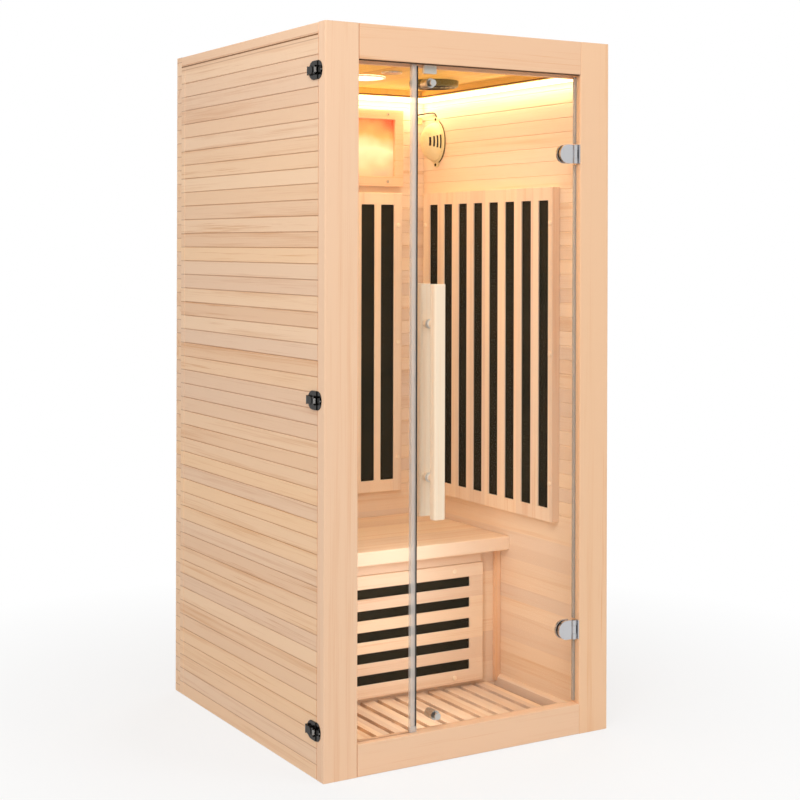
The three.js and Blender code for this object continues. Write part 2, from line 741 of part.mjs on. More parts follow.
// Bench: a seat board on an upright front panel and a cleat on the back wall.
const benchHalf = INNER_X - CLEAR;
const seatNose = INNER_Y - BENCH_DEPTH;
const seatOutline = rounded(seatNose, INNER_Y - CLEAR, SEAT_LOW, SEAT_TOP, SEAT_ROUND);
const seatRear = INNER_Y - CLEAR - SEAT_BOARD;
const seatBack = box(-benchHalf, benchHalf, seatRear, INNER_Y - CLEAR, SEAT_LOW, SEAT_TOP);
add("bench_seat", join(prism(seatOutline, "x", -benchHalf, benchHalf), seatBack), "bench");
const benchTop = SEAT_LOW - CLEAR;
add(
  "bench_front",
  join(
    box(-benchHalf, benchHalf, BENCH_Y, BENCH_Y + BENCH_PANEL, FLOOR + CLEAR, benchTop),
    box(-calfHalf + 3, calfHalf - 3, BENCH_Y - APRON_PROUD, BENCH_Y + 1, calfTop + CLEAR, benchTop),
  ),
  "bench",
);
add(
  "bench_back_cleat",
  box(
    -benchHalf + CLEAT,
    benchHalf - CLEAT,
    INNER_Y - CLEAR - CLEAT,
    INNER_Y - CLEAR,
    benchTop - APRON,
    benchTop,
  ),
  "bench",
);

// Fixed pane in its grooves, with a clear seal on its free edge.
add(
  "fixed_glass",
  box(
    -OPEN - GLASS_REBATE + CLEAR,
    FIXED_X,
    GLASS_F,
    GLASS_B,
    grooveLow + CLEAR,
    grooveTop - CLEAR,
  ),
  "glass",
);
const sealX1 = FIXED_X + CLEAR + SEAL_WEB;
add(
  "fixed_glass_seal",
  cut(
    box(
      FIXED_X - SEAL_LAP,
      sealX1,
      grooveY0 - SEAL_WALL,
      grooveY1 + SEAL_WALL,
      SILL + CLEAR,
      HEAD_Z - CLEAR,
    ),
    box(FIXED_X - SEAL_LAP - 1, FIXED_X + CLEAR, grooveY0, grooveY1, 0, HEIGHT),
  ),
  "seal",
);

// Door glass with holes for the handle bolts, the studs and the hinge bosses.
const hingeZ = { lower: DOOR_LOW + HINGE_LOW, upper: DOOR_TOP - HINGE_HIGH };
const studZ = { lower: DOOR_LOW + STUD_LOW, upper: DOOR_TOP - STUD_HIGH };
const pegZ = [HANDLE_HEIGHT - PEG_SPACING / 2, HANDLE_HEIGHT + PEG_SPACING / 2];
const clampX1 = AXIS_X - KNUCKLE_R - 1;
const bossX = clampX1 - CLAMP_WIDTH * 0.42;
function bore(x, z, r) {
  return prism(disc(x, z, r), "y", GLASS_F - 1, GLASS_B + 1);
}
add(
  "door_glass",
  cut(
    box(DOOR_L, DOOR_R, GLASS_F, GLASS_B, DOOR_LOW, DOOR_TOP),
    ...pegZ.map((z) => bore(HANDLE_X, z, BOLT_R + CLEAR)),
    ...Object.entries(studZ).map(([which, z]) => bore(DOOR_L + STUD_INSET[which], z, BOLT_R + CLEAR)),
    ...Object.values(hingeZ).map((z) => bore(bossX, z, BOSS_R + BOSS_FIT)),
  ),
  "glass",
);

// Handles. The inner bar carries the bolts; the outer bar has blind holes for them.
const handleX0 = HANDLE_X - HANDLE_WIDTH / 2;
const handleX1 = HANDLE_X + HANDLE_WIDTH / 2;
const handleZ0 = HANDLE_HEIGHT - HANDLE_LENGTH / 2;
const handleZ1 = HANDLE_HEIGHT + HANDLE_LENGTH / 2;
const outerY1 = GLASS_F - HANDLE_STAND;
const innerY0 = GLASS_B + HANDLE_STAND;
function bar(y0, y1) {
  return prism(rounded(handleX0, handleX1, y0, y1, 6), "z", handleZ0, handleZ1);
}
const boltEnd = GLASS_F - CLEAR - BOLT_IN;
const outerHandle = join(
  bar(outerY1 - HANDLE_THICK, outerY1),
  ...pegZ.map((z) => prism(disc(HANDLE_X, z, PEG_R), "y", outerY1 - 2, GLASS_F - CLEAR)),
);
add(
  "outer_handle",
  cut(
    outerHandle,
    ...pegZ.map((z) => prism(disc(HANDLE_X, z, BOLT_R + CLEAR), "y", boltEnd - CLEAR, GLASS_F)),
  ),
  "handle",
);
add(
  "inner_handle",
  join(
    bar(innerY0, innerY0 + HANDLE_THICK),
    ...pegZ.map((z) => prism(disc(HANDLE_X, z, PEG_R), "y", GLASS_B + CLEAR, innerY0 + 2)),
    ...pegZ.map((z) => prism(disc(HANDLE_X, z, BOLT_R), "y", boltEnd, innerY0 + 2)),
  ),
  "handle",
);

// Hinges: a leaf on the jamb with the pin, a clamp in front of the glass and a plate behind it.
function clampOutline(z) {
  const half = HINGE_HEIGHT / 2;
  const x0 = clampX1 - CLAMP_WIDTH;
  const shape = new THREE.Shape();
  shape.moveTo(clampX1, z - half);
  shape.lineTo(clampX1, z + half);
  shape.lineTo(x0 + half, z + half);
  shape.absarc(x0 + half, z, half, Math.PI / 2, Math.PI * 1.5);
  return shape;
}
for (const [which, z] of Object.entries(hingeZ)) {
  const half = HINGE_HEIGHT / 2;
  const middle = KNUCKLE_MIDDLE / 2;
  const leafX = OPEN - CLEAR - LEAF;
  const knuckle = disc(AXIS_X, AXIS_Y, KNUCKLE_R);
  const ends = [
    [z - half, z - middle - HINGE_PLAY],
    [z + middle + HINGE_PLAY, z + half],
  ];
  add(
    which + "_hinge_leaf",
    join(
      box(leafX, leafX + LEAF, FRONT + 1, GLASS_F - 1, z - half, z + half),
      prism(disc(AXIS_X, AXIS_Y, PIN_R), "z", z - half, z + half),
      ...ends.map(([z0, z1]) => prism(knuckle, "z", z0, z1)),
      ...ends.map(([z0, z1]) => box(AXIS_X, leafX + 1, AXIS_Y - 3, AXIS_Y + 3, z0, z1)),
    ),
    "chrome",
  );
  const clampY1 = GLASS_F - CLEAR;
  const clamp = join(
    prism(clampOutline(z), "y", clampY1 - CLAMP, clampY1),
    prism(disc(bossX, z, BOSS_R), "y", clampY1 - 2, GLASS_B),
    prism(knuckle, "z", z - middle, z + middle),
    box(clampX1 - 4, AXIS_X, clampY1 - CLAMP, GLASS_F - 1, z - middle, z + middle),
  );
  const pinHole = prism(disc(AXIS_X, AXIS_Y, PIN_R + CLEAR), "z", z - half, z + half);
  add(which + "_hinge_clamp", cut(clamp, pinHole), "chrome");
  const plate = prism(clampOutline(z), "y", GLASS_B + CLEAR, GLASS_B + CLEAR + BACKPLATE);
  add(which + "_hinge_backplate", plate, "chrome");
}

// Round stops bolted through the door near its free corners.
for (const [which, z] of Object.entries(studZ)) {
  const x = DOOR_L + STUD_INSET[which];
  const bodyY = GLASS_B + CLEAR;
  const capY = GLASS_F - CLEAR;
  add(
    which + "_door_stud",
    join(
      prism(disc(x, z, STUD_R), "y", bodyY, bodyY + STUD_BODY),
      prism(disc(x, z, BOLT_R), "y", capY - 1, bodyY + 1),
      prism(disc(x, z, STUD_R * 0.7), "y", capY - STUD_CAP, capY),
    ),
    "chrome",
  );
}

// Magnetic catch under the header, just behind the door.
add(
  "magnet_catch",
  box(
    DOOR_L + CATCH_INSET - CATCH_WIDTH / 2,
    DOOR_L + CATCH_INSET + CATCH_WIDTH / 2,
    GLASS_B + 2,
    FRAME_BACK - 1,
    HEAD_Z - CLEAR - CATCH_DROP,
    HEAD_Z - CLEAR,
  ),
  "white",
);

// Twist latches, made for the right wall and mirrored for the left.
const latchX = HALF + CLEAR;
const latchY = wallY0 + HUB_INSET;
function latch(name, z, group) {
  const r = LATCH_HEIGHT / 2;
  const plate = new THREE.Shape();
  plate.moveTo(wallY0, z - r);
  plate.lineTo(wallY0 + LATCH_LENGTH - r, z - r);
  plate.absarc(wallY0 + LATCH_LENGTH - r, z, r, -Math.PI / 2, Math.PI / 2);
  plate.lineTo(wallY0, z + r);
  const plateX = latchX + LATCH_PLATE;
  const base = join(
    prism(plate, "x", latchX, plateX),
    box(latchX + 1.2, plateX, wallY0 - LATCH_TONGUE, wallY0 + 4, z - 8, z + 8),
  );
  const hole = prism(disc(latchY, z, HUB_R + CLEAR), "x", latchX - 1, plateX + 1);
  add(name + "_base", cut(base, hole), "chrome", group);
  const w = WING_LENGTH / 2;
  const wing = outline([
    [latchY - w, z - w * 0.55],
    [latchY, z - w * 0.34],
    [latchY + w, z - w * 0.55],
    [latchY + w, z + w * 0.55],
    [latchY, z + w * 0.34],
    [latchY - w, z + w * 0.55],
  ]);
  const wingX = plateX + 0.5;
  add(
    name + "_turn",
    join(
      prism(disc(latchY, z, HUB_R), "x", latchX + CLEAR, wingX + 1),
      prism(wing, "x", wingX, wingX + WING_THICK),
      prism(disc(latchY, z, HUB_R + 2), "x", wingX, wingX + WING_THICK + 1.5),
    ),
    "chrome",
    group,
  );
}
const latchHeights = { lower: LATCH_END, middle: HEIGHT / 2, upper: HEIGHT - LATCH_END };
for (const [where, z] of Object.entries(latchHeights)) {
  latch("right_" + where + "_latch", z, cabin);
  latch("left_" + where + "_latch", z, leftSide);
}

export default cabin;
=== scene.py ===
# %% [markdown]
# # An infrared sauna cabin
# The cabin is a wooden box with a glass front. Its solids come ready-made from the CAD frame, in metres,
# with +Z up and the glass towards -Y. This lesson gives every surface its finish, eases the sharp edges,
# adds the small fittings that the solids leave out, and sets up the light and the camera.

import math

import bpy
from mathutils import Matrix, Vector


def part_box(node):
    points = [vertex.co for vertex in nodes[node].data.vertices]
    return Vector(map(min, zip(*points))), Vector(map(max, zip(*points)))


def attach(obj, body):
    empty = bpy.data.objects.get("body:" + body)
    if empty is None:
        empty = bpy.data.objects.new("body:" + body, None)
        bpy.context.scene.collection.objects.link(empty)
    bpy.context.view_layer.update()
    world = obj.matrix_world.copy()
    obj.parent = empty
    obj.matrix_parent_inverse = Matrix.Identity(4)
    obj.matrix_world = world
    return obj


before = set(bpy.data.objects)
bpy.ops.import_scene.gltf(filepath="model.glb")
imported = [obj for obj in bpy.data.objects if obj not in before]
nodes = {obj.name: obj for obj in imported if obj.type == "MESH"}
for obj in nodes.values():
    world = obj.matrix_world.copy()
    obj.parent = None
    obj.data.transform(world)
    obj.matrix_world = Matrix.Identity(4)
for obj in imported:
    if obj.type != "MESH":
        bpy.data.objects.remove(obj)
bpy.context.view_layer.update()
scene = bpy.context.scene
scene.view_settings.view_transform = "Standard"
bpy.ops.object.select_all(action="DESELECT")

# %% [markdown]
# ## Finishes
# Every finish is a node tree that reads Object coordinates, so it needs no image and no unwrapping. A
# material starts as one Principled shader. Colours are noted as they look on a screen and turned into the
# linear values that the shader works in.

# %% Tools for materials
X, Y, Z = 0, 1, 2
MM = 0.001


def screen(red, green, blue):
    """A colour as seen on a screen (0 to 255), as linear RGBA."""
    linear = []
    for value in (red, green, blue):
        v = value / 255
        linear.append(v / 12.92 if v <= 0.04045 else ((v + 0.055) / 1.055) ** 2.4)
    return (*linear, 1.0)


def new_finish(name):
    material = bpy.data.materials.new(name)
    material.use_nodes = True
    tree = material.node_tree
    tree.nodes.clear()
    output = tree.nodes.new("ShaderNodeOutputMaterial")
    shader = tree.nodes.new("ShaderNodeBsdfPrincipled")
    tree.links.new(shader.outputs["BSDF"], output.inputs["Surface"])
    return material, tree, shader


def feed(tree, made, inputs):
    """Fills sockets; inputs are (socket, value or output to link) pairs."""
    for socket, value in inputs:
        if isinstance(value, bpy.types.NodeSocket):
            tree.links.new(value, made.inputs[socket])
        else:
            made.inputs[socket].default_value = value


def node(tree, kind, inputs=(), **settings):
    """A shader node with its settings and its sockets filled."""
    made = tree.nodes.new("ShaderNode" + kind)
    for key, value in settings.items():
        setattr(made, key, value)
    feed(tree, made, inputs)
    return made


print("material tools ready")

# %% [markdown]
# ### Patterns
# A few kinds of node come back in every finish, so each gets a short name: where a point lies on its object,
# arithmetic, cloudy noise, one range mapped to another, two colours mixed, and a scale of colours.

# %% Tools for patterns
MIX_UNDER, MIX_OVER, MIX_COLOUR = 6, 7, 2  # the sockets of a Mix node that hold colours


def object_place(tree):
    return node(tree, "TexCoord").outputs["Object"]


def maths(tree, operation, *values):
    return node(tree, "Math", enumerate(values), operation=operation).outputs[0]


def noise(tree, place, scale, detail, distortion=0.0):
    inputs = [("Vector", place), ("Scale", scale), ("Detail", detail), ("Distortion", distortion)]
    return node(tree, "TexNoise", inputs).outputs[0]


def remap(tree, value, low, high, start=0.0, end=1.0):
    """Maps the range from start to end onto the range from low to high, and holds it there."""
    source = [("Value", value), ("From Min", start), ("From Max", end)]
    return node(tree, "MapRange", source + [("To Min", low), ("To Max", high)]).outputs[0]


def blend(tree, factor, under, over):
    inputs = [("Factor", factor), (MIX_UNDER, under), (MIX_OVER, over)]
    return node(tree, "Mix", inputs, data_type="RGBA").outputs[MIX_COLOUR]


def ramp(tree, factor, stops):
    made = node(tree, "ValToRGB", [("Fac", factor)])
    elements = made.color_ramp.elements
    while len(elements) < len(stops):
        elements.new(1.0)
    for element, (place, colour) in zip(elements, stops):
        element.position = place
        element.color = colour
    return made.outputs["Color"]


print("pattern tools ready")

# %% [markdown]
# ### Wood
# The cabin is made of pale softwood. Real boards differ from their neighbours, and the grain runs along each
# board. So the coordinate across the boards is divided by the board width and rounded down: that number is
# the same all over one board, and a white noise of it gives the board its own tint and its own piece of
# grain. The grain is noise that is stretched along the board, once for broad bands and once for fine fibres.
# The outer boards also get a few small knots, which are the middles of some cells of a Voronoi pattern, and
# painted shade darkens the grooves between them.

# %% Wood finish
KNOT = screen(150, 96, 58)
KNOT_CORE, KNOT_RIM = 0.025, 0.06  # as shares of a cell
KNOT_RARITY = 0.8
# Painted shade in the grooves between the boards: its colour, and how near the groove it starts and fades.
GROOVE_SHADE = screen(160, 112, 74)
GROOVE_SHADE_CORE, GROOVE_SHADE_RIM, GROOVE_SHADE_AMOUNT = 0.018, 0.05, 0.42  # the first two as shares of a board
BOARD_SHIFT = (3.0, 3.0, 3.0)


def knots_and_groove_shade(tree, colour, cells, counted):
    spot = remap(tree, cells["Distance"], 1.0, 0.0, KNOT_CORE, KNOT_RIM)
    rare = maths(tree, "GREATER_THAN", cells["Color"], KNOT_RARITY)
    colour = blend(tree, maths(tree, "MULTIPLY", spot, rare), colour, KNOT)
    # Painted shade: the wood darkens towards each groove between boards.
    edge = maths(tree, "PINGPONG", counted, 0.5)
    return blend(tree, remap(tree, edge, GROOVE_SHADE_AMOUNT, 0.0, GROOVE_SHADE_CORE, GROOVE_SHADE_RIM), colour, GROOVE_SHADE)


def wood(
    name, pale, deep, grain, across, width, start=0.0, tint=0.16, rough=0.55, coat=0.0, wall=False
):
    """Boards of one width, counted along the across axis, with the grain along the grain axis."""
    material, tree, shader = new_finish(name)
    place = object_place(tree)
    parts = node(tree, "SeparateXYZ", [(0, place)]).outputs
    counted = maths(tree, "DIVIDE", maths(tree, "SUBTRACT", parts[across], start), width)
    board = maths(tree, "FLOOR", counted)
    own = node(tree, "TexWhiteNoise", [("W", board)], noise_dimensions="1D").outputs
    apart = node(tree, "VectorMath", [(0, own["Color"]), (1, BOARD_SHIFT)], operation="MULTIPLY")
    moved = node(tree, "VectorMath", [(0, place), (1, apart.outputs[0])], operation="ADD").outputs[0]

    def stretched(along, aside):
        scale = [aside, aside, aside]
        scale[grain] = along
        return node(tree, "Mapping", [("Vector", moved), ("Scale", tuple(scale))]).outputs[0]

    bands = noise(tree, stretched(0.7, 34.0), scale=1.0, detail=4.0, distortion=0.4)
    fibres = noise(tree, stretched(5.0, 520.0), scale=1.0, detail=3.0)
    mixed = maths(tree, "MULTIPLY_ADD", fibres, 0.5, bands)
    colour = ramp(tree, mixed, [(0.45, deep), (0.72, pale), (0.9, pale), (1.0, deep)])
    if wall:
        cells = node(tree, "TexVoronoi", [("Vector", stretched(5.0, 11.0)), ("Scale", 1.0)]).outputs
        colour = knots_and_groove_shade(tree, colour, cells, counted)
    value = remap(tree, own["Value"], 1.0 - tint, 1.0 + tint * 0.35)
    warm = remap(tree, own["Color"], 0.92, 1.12)
    hue = remap(tree, own["Value"], 0.5 - tint * 0.05, 0.5 + tint * 0.03)
    tones = [("Hue", hue), ("Saturation", warm), ("Value", value), ("Color", colour)]
    toned = node(tree, "HueSaturation", tones).outputs[0]
    relief = node(tree, "Bump", [("Strength", 0.08), ("Distance", 0.0006), ("Height", fibres)]).outputs[0]
    feed(tree, shader, [("Base Color", toned), ("Normal", relief), ("Roughness", rough)])
    feed(tree, shader, [("Coat Weight", coat), ("Coat Roughness", 0.35)])
    return material


print("wood finish ready")

# %% [markdown]
# ### Kinds of wood
# The walls, the frame, the slats and the handles differ in colour and in board width. Each pair below holds
# a pale and a deep tone of one kind. The letters say along which axis the grain runs and across which axis
# the boards are counted.

# %% Kinds of wood
BOARD = 40.5 * MM
TOP_BOARD = 55 * MM
wall_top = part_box("left_wall_cladding")[1].z - TOP_BOARD
back_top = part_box("back_wall_cladding")[1].z - TOP_BOARD
lining_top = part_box("back_wall_lining")[1].z - TOP_BOARD
OUTER = (screen(250, 212, 176), screen(230, 180, 136))
side_wood = wood("side_boards", *OUTER, Y, Z, BOARD, wall_top, tint=0.08, wall=True)
back_wood = wood("back_boards", *OUTER, X, Z, BOARD, back_top, tint=0.08, wall=True)
INNER = (screen(250, 224, 196), screen(238, 202, 164))
side_lining_wood = wood("side_lining_boards", *INNER, Y, Z, BOARD, lining_top, tint=0.1)
back_lining_wood = wood("back_lining_boards", *INNER, X, Z, BOARD, lining_top, tint=0.1)
# The ceiling is the same pale wood, painted golden: the warm light of the lamp and the strip is painted into
# its colour.
LAMPLIT_GOLDEN = (screen(252, 214, 122), screen(238, 188, 88))
ceiling_wood = wood("ceiling_boards", *LAMPLIT_GOLDEN, Y, X, width=0.09, start=-0.4077)
FRAME = (screen(247, 206, 170), screen(238, 186, 142))
PLANED = {"tint": 0.03, "rough": 0.5, "coat": 0.1}
post_wood = wood("post_wood", *FRAME, Z, X, width=0.4, start=-0.6, **PLANED)
rail_wood = wood("rail_wood", *FRAME, X, Z, width=0.5, start=-0.2, **PLANED)
rim_wood = wood("rim_wood", *FRAME, Y, X, width=0.5, start=-0.75, tint=0.05)
SLAT = (screen(250, 222, 192), screen(238, 198, 160))
seat_wood = wood("seat_wood", *SLAT, X, Y, width=0.083, start=-0.063, tint=0.07)
front_wood = wood("bench_front_wood", *SLAT, X, Z, width=0.09, tint=0.1)
side_slat_wood = wood("side_slat_wood", *SLAT, Z, Y, width=0.083, start=-0.3, tint=0.08)
back_slat_wood = wood("back_slat_wood", *SLAT, Z, X, width=0.083, start=-0.31, tint=0.08)
calf_slat_wood = wood("calf_slat_wood", *SLAT, X, Z, width=0.0615, start=0.052, tint=0.08)
foot_slat_wood = wood("foot_slat_wood", *SLAT, Y, X, width=0.056, start=-0.392, tint=0.12)
DARK = (screen(170, 122, 80), screen(140, 96, 60))
base_wood = wood("floor_base_wood", *DARK, X, Y, width=0.2)
SANDED = (screen(255, 234, 206), screen(250, 216, 180))
grip_wood = wood("handle_wood", *SANDED, Z, X, width=0.2, start=-0.3, tint=0.02, coat=0.15)
print("wood finishes:", len(bpy.data.materials))

# %% [markdown]
# ### Glass, metal and plastic
# The panes are flat and thin, so a nearly transparent shader with a clear gloss looks right and lets the
# light through without noise. Fittings are polished metal with faint brush marks, dark on the latches;
# mouldings are satin plastic with a very fine grain.

# %% Glass, metal and plastic finishes


def glass(name, tint, alpha):
    material, tree, shader = new_finish(name)
    haze = noise(tree, object_place(tree), scale=3.0, detail=2.0)
    feed(tree, shader, [("Base Color", tint), ("Alpha", alpha), ("IOR", 1.52)])
    feed(tree, shader, [("Roughness", remap(tree, haze, 0.01, 0.05))])
    return material


def metal(name, colour, low, high, brush=(300.0, 300.0, 12.0)):
    """Polished metal; low and high bound its roughness."""
    material, tree, shader = new_finish(name)
    brushed = node(tree, "Mapping", [("Vector", object_place(tree)), ("Scale", brush)]).outputs[0]
    marks = noise(tree, brushed, scale=1.0, detail=3.0)
    feed(tree, shader, [("Base Color", colour), ("Metallic", 1.0)])
    feed(tree, shader, [("Roughness", remap(tree, marks, low, high))])
    return material


def moulded(name, colour, low=0.4, high=0.55, grain=900.0):
    """Satin plastic; low and high bound its roughness."""
    material, tree, shader = new_finish(name)
    speck = noise(tree, object_place(tree), scale=grain, detail=2.0)
    relief = node(tree, "Bump", [("Strength", 0.05), ("Distance", 0.0003), ("Height", speck)]).outputs[0]
    feed(tree, shader, [("Base Color", colour), ("Normal", relief)])
    feed(tree, shader, [("Roughness", remap(tree, speck, low, high))])
    return material


pane_glass = glass("pane_glass", screen(60, 78, 72), alpha=0.035)
seal_clear = glass("clear_seal", screen(240, 236, 232), alpha=0.32)
chrome = metal("polished_chrome", screen(196, 196, 198), 0.12, 0.3)
latch_metal = metal("latch_metal", screen(50, 48, 46), 0.08, 0.2)
steel = metal("screw_steel", screen(196, 194, 190), 0.2, 0.4)
black_mould = moulded("black_moulding", screen(34, 33, 32))
white_mould = moulded("white_moulding", screen(236, 234, 226))
cream_mould = moulded("cream_moulding", screen(232, 214, 166), 0.25, 0.4)
RUBBER = (0.5, 0.7)  # how rough rubber is
# Near black: the ioniser screws, and painted shade in the slit at the door's free edge.
gap_shade_and_screw_black = moulded("gap_shade_and_screw_black_finish", screen(22, 22, 22), *RUBBER)
print("glass, metal and plastic finishes ready")

# %% [markdown]
# ### Heaters, speakers and lights
# The heater film is nearly black with a faint weave. The lamp, the strip and the colour panel shine by
# themselves: their shader emits light. The colour panel blends soft patches from pink through white and
# yellow to orange, as colour lamps behind a diffuser do.

# %% Heater, speaker and light finishes
PANEL_COLOURS = [
    (0.22, screen(246, 158, 140)),
    (0.42, screen(255, 196, 150)),
    (0.56, screen(255, 232, 190)),
    (0.70, screen(255, 176, 108)),
    (0.86, screen(240, 104, 66)),
]


def film(name):
    material, tree, shader = new_finish(name)
    place = object_place(tree)
    weave = node(tree, "TexVoronoi", [("Vector", place), ("Scale", 160.0)]).outputs["Distance"]
    cloud = noise(tree, place, scale=6.0, detail=3.0)
    both = maths(tree, "MULTIPLY_ADD", weave, 0.5, cloud)
    colour = ramp(tree, both, [(0.3, screen(22, 19, 12)), (0.9, screen(46, 39, 25))])
    feed(tree, shader, [("Base Color", colour), ("Roughness", 0.85), ("Specular IOR Level", 0.12)])
    return material


def glowing(name, colour, strength, body):
    """A diffuser that shines; body is its colour when it is off."""
    material, tree, shader = new_finish(name)
    spots = noise(tree, object_place(tree), scale=24.0, detail=1.0)
    shine = remap(tree, spots, 0.9 * strength, 1.1 * strength)
    feed(tree, shader, [("Emission Strength", shine), ("Emission Color", colour)])
    feed(tree, shader, [("Base Color", body), ("Roughness", 0.4)])
    return material


def colour_light(name, low, high):
    """A panel between two corners whose colours change upwards and a little sideways."""
    material, tree, shader = new_finish(name)
    place = object_place(tree)
    parts = node(tree, "SeparateXYZ", [(0, place)]).outputs
    up = remap(tree, parts[Z], 0.0, 1.0, low.z, high.z)
    side = remap(tree, parts[X], 0.0, 1.0, low.x, high.x)
    soft = noise(tree, place, scale=9.0, detail=2.0)
    lean = maths(tree, "MULTIPLY_ADD", side, 0.25, up)
    mixed = maths(tree, "MULTIPLY_ADD", soft, 0.7, lean)
    colour = ramp(tree, maths(tree, "MULTIPLY", mixed, 0.55), PANEL_COLOURS)
    feed(tree, shader, [("Emission Color", colour), ("Emission Strength", 0.4)])
    feed(tree, shader, [("Base Color", colour), ("Roughness", 0.25)])
    return material


heater_film = film("heater_film")
strip_glow = glowing("strip_glow", screen(255, 236, 190), 2.6, screen(255, 246, 224))
lamp_glow = glowing("lamp_glow", screen(255, 240, 205), 1.6, screen(255, 248, 232))
lens_light = colour_light("colour_light", *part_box("colour_panel_lens"))
speaker_cloth = moulded("speaker_grille", screen(112, 104, 54), 0.35, 0.5, grain=400.0)
print("heater and light finishes ready")

# %% [markdown]
# ### Each CAD node gets its finish
# The table below names the finish of each solid. A CAD object keeps its own mesh and place: only its
# material slots change.

# %% Finish table
FINISHES = {
    side_wood: ["left_wall_cladding", "right_wall_cladding"],
    back_wood: ["back_wall_cladding"],
    side_lining_wood: ["left_wall_lining", "right_wall_lining"],
    back_lining_wood: ["back_wall_lining"],
    ceiling_wood: ["ceiling_panel"],
    post_wood: ["front_left_post", "front_right_post"],
    rail_wood: ["header_rail", "sill_rail", "colour_panel_frame"],
    rim_wood: ["roof_rim"],
    seat_wood: ["bench_seat", "bench_back_cleat"],
    front_wood: ["bench_front"],
    side_slat_wood: ["left_heater_guard", "right_heater_guard"],
    back_slat_wood: ["back_heater_guard"],
    calf_slat_wood: ["calf_heater_guard"],
    foot_slat_wood: ["floor_duckboard"],
    base_wood: ["floor_base"],
    grip_wood: ["outer_handle", "inner_handle"],
    pane_glass: ["fixed_glass", "door_glass"],
    seal_clear: ["fixed_glass_seal"],
    white_mould: ["magnet_catch"],
    cream_mould: ["ioniser"],
    black_mould: ["control_box", "ioniser_lead"],
    strip_glow: ["led_strip"],
    lamp_glow: ["ceiling_lamp"],
    lens_light: ["colour_panel_lens"],
    speaker_cloth: ["left_speaker", "right_speaker"],
    heater_film: [n for n in nodes if n.endswith("_heater_element")],
    chrome: [n for n in nodes if "hinge" in n],
    latch_metal: [n for n in nodes if "latch" in n],
    steel: ["upper_door_stud", "lower_door_stud"],
}
finished = set()
for material, names in FINISHES.items():
    for name in names:
        mesh = nodes[name].data
        mesh.materials.clear()
        mesh.materials.append(material)
        finished.add(name)
print("nodes without a finish:", sorted(set(nodes) - finished))

# %% [markdown]
# ## Eased edges
# No planed board has a razor edge: the corners are eased so that they catch a thin line of light. A CAD node
# keeps its mesh, so the easing is a short stack of modifiers. Weld joins the loose triangles, a planar
# Decimate makes whole faces of them again, and Bevel rounds the edges that are sharper than its angle.
# Slatted pieces skip the Decimate, because a face with many holes doesn't survive it.

# %% Ease the edges
GUARDS = [n for n in nodes if n.endswith("_heater_guard")]
SLATTED = GUARDS + ["floor_duckboard", "colour_panel_frame"]
WELD_WITHIN = 0.01 * MM
FLAT_ANGLE = math.radians(1)
SHARP_ANGLE = math.radians(50)
EASED = {
    2.5 * MM: ["left_heater_guard", "right_heater_guard", "back_heater_guard", "calf_heater_guard"],
    2.0 * MM: ["colour_panel_frame", "bench_front", "roof_rim", "floor_duckboard", "bench_back_cleat"],
    1.5 * MM: ["outer_handle", "inner_handle", "bench_seat", "control_box", "magnet_catch"],
    1.2 * MM: [
        n for n in nodes if n.endswith(("hinge_backplate", "latch_base", "latch_turn", "door_stud"))
    ],
    1.0 * MM: ["door_glass", "fixed_glass", "ceiling_lamp", "left_speaker", "right_speaker"],
}


def ease(name, width):
    piece = nodes[name]
    weld = piece.modifiers.new("weld", "WELD")
    weld.merge_threshold = WELD_WITHIN
    if name not in SLATTED:
        flat = piece.modifiers.new("whole_faces", "DECIMATE")
        flat.decimate_type = "DISSOLVE"
        flat.angle_limit = FLAT_ANGLE
    bevel = piece.modifiers.new("eased_edge", "BEVEL")
    bevel.limit_method = "ANGLE"
    bevel.angle_limit = SHARP_ANGLE
    bevel.width = width
    bevel.segments = 2


for width, names in EASED.items():
    for name in names:
        ease(name, width)
print("eased nodes:", sum(len(names) for names in EASED.values()))

# %% [markdown]
# ## Tools for the small fittings
# Each fitting starts as a primitive, is shaped in edit mode, and ends with its place applied, so that its
# object sits at the origin as the CAD nodes do. Faces are chosen by the way they point.

# %% Choosing and settling
SMOOTH_ANGLE = math.radians(35)


def choose(piece=None):
    """Selects one piece, or nothing."""
    bpy.ops.object.select_all(action="DESELECT")
    if piece:
        piece.select_set(True)
        bpy.context.view_layer.objects.active = piece


def clear_choice(piece):
    """Makes a piece active with none of its faces selected."""
    choose(piece)
    bpy.ops.object.mode_set(mode="EDIT")
    bpy.ops.mesh.select_mode(type="FACE")
    bpy.ops.mesh.select_all(action="DESELECT")
    bpy.ops.object.mode_set(mode="OBJECT")


def pick_faces(piece, direction, limit=0.9):
    """Selects the faces that point in that direction and stays in edit mode."""
    clear_choice(piece)
    aim = Vector(direction)
    for face in piece.data.polygons:
        face.select = face.normal.dot(aim) > limit
    bpy.ops.object.mode_set(mode="EDIT")


def settle(piece, name, finish, body):
    """Names a fitting, puts its place into its mesh and hands it to its body."""
    if piece.mode == "EDIT":
        bpy.ops.object.mode_set(mode="OBJECT")
    choose(piece)
    bpy.ops.object.transform_apply(location=True, rotation=True, scale=True)
    bpy.ops.object.shade_smooth_by_angle(angle=SMOOTH_ANGLE)
    piece.name = piece.data.name = name
    piece.data.materials.clear()
    piece.data.materials.append(finish)
    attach(piece, body)


print("choosing tools ready")

# %% [markdown]
# ### Blocks, heads and copies
# Most fittings are boxes with rounded edges or low round heads. What repeats is modelled once: its mesh is
# kept as a pattern, and every copy gets a mesh of its own. A finished piece can also be mirrored to the other
# side of the cabin.

# %% Blocks, heads and copies
TURNS = {
    "+x": (0, math.pi / 2, 0),
    "-x": (0, -math.pi / 2, 0),
    "-y": (math.pi / 2, 0, 0),
    "+y": (-math.pi / 2, 0, 0),
    "+z": (0, 0, 0),
    "-z": (math.pi, 0, 0),
}
HEAD_PATTERNS = {}
HEAD_ROUND = 0.35  # of the height or the radius
HEAD_INSET = 0.35  # of the radius


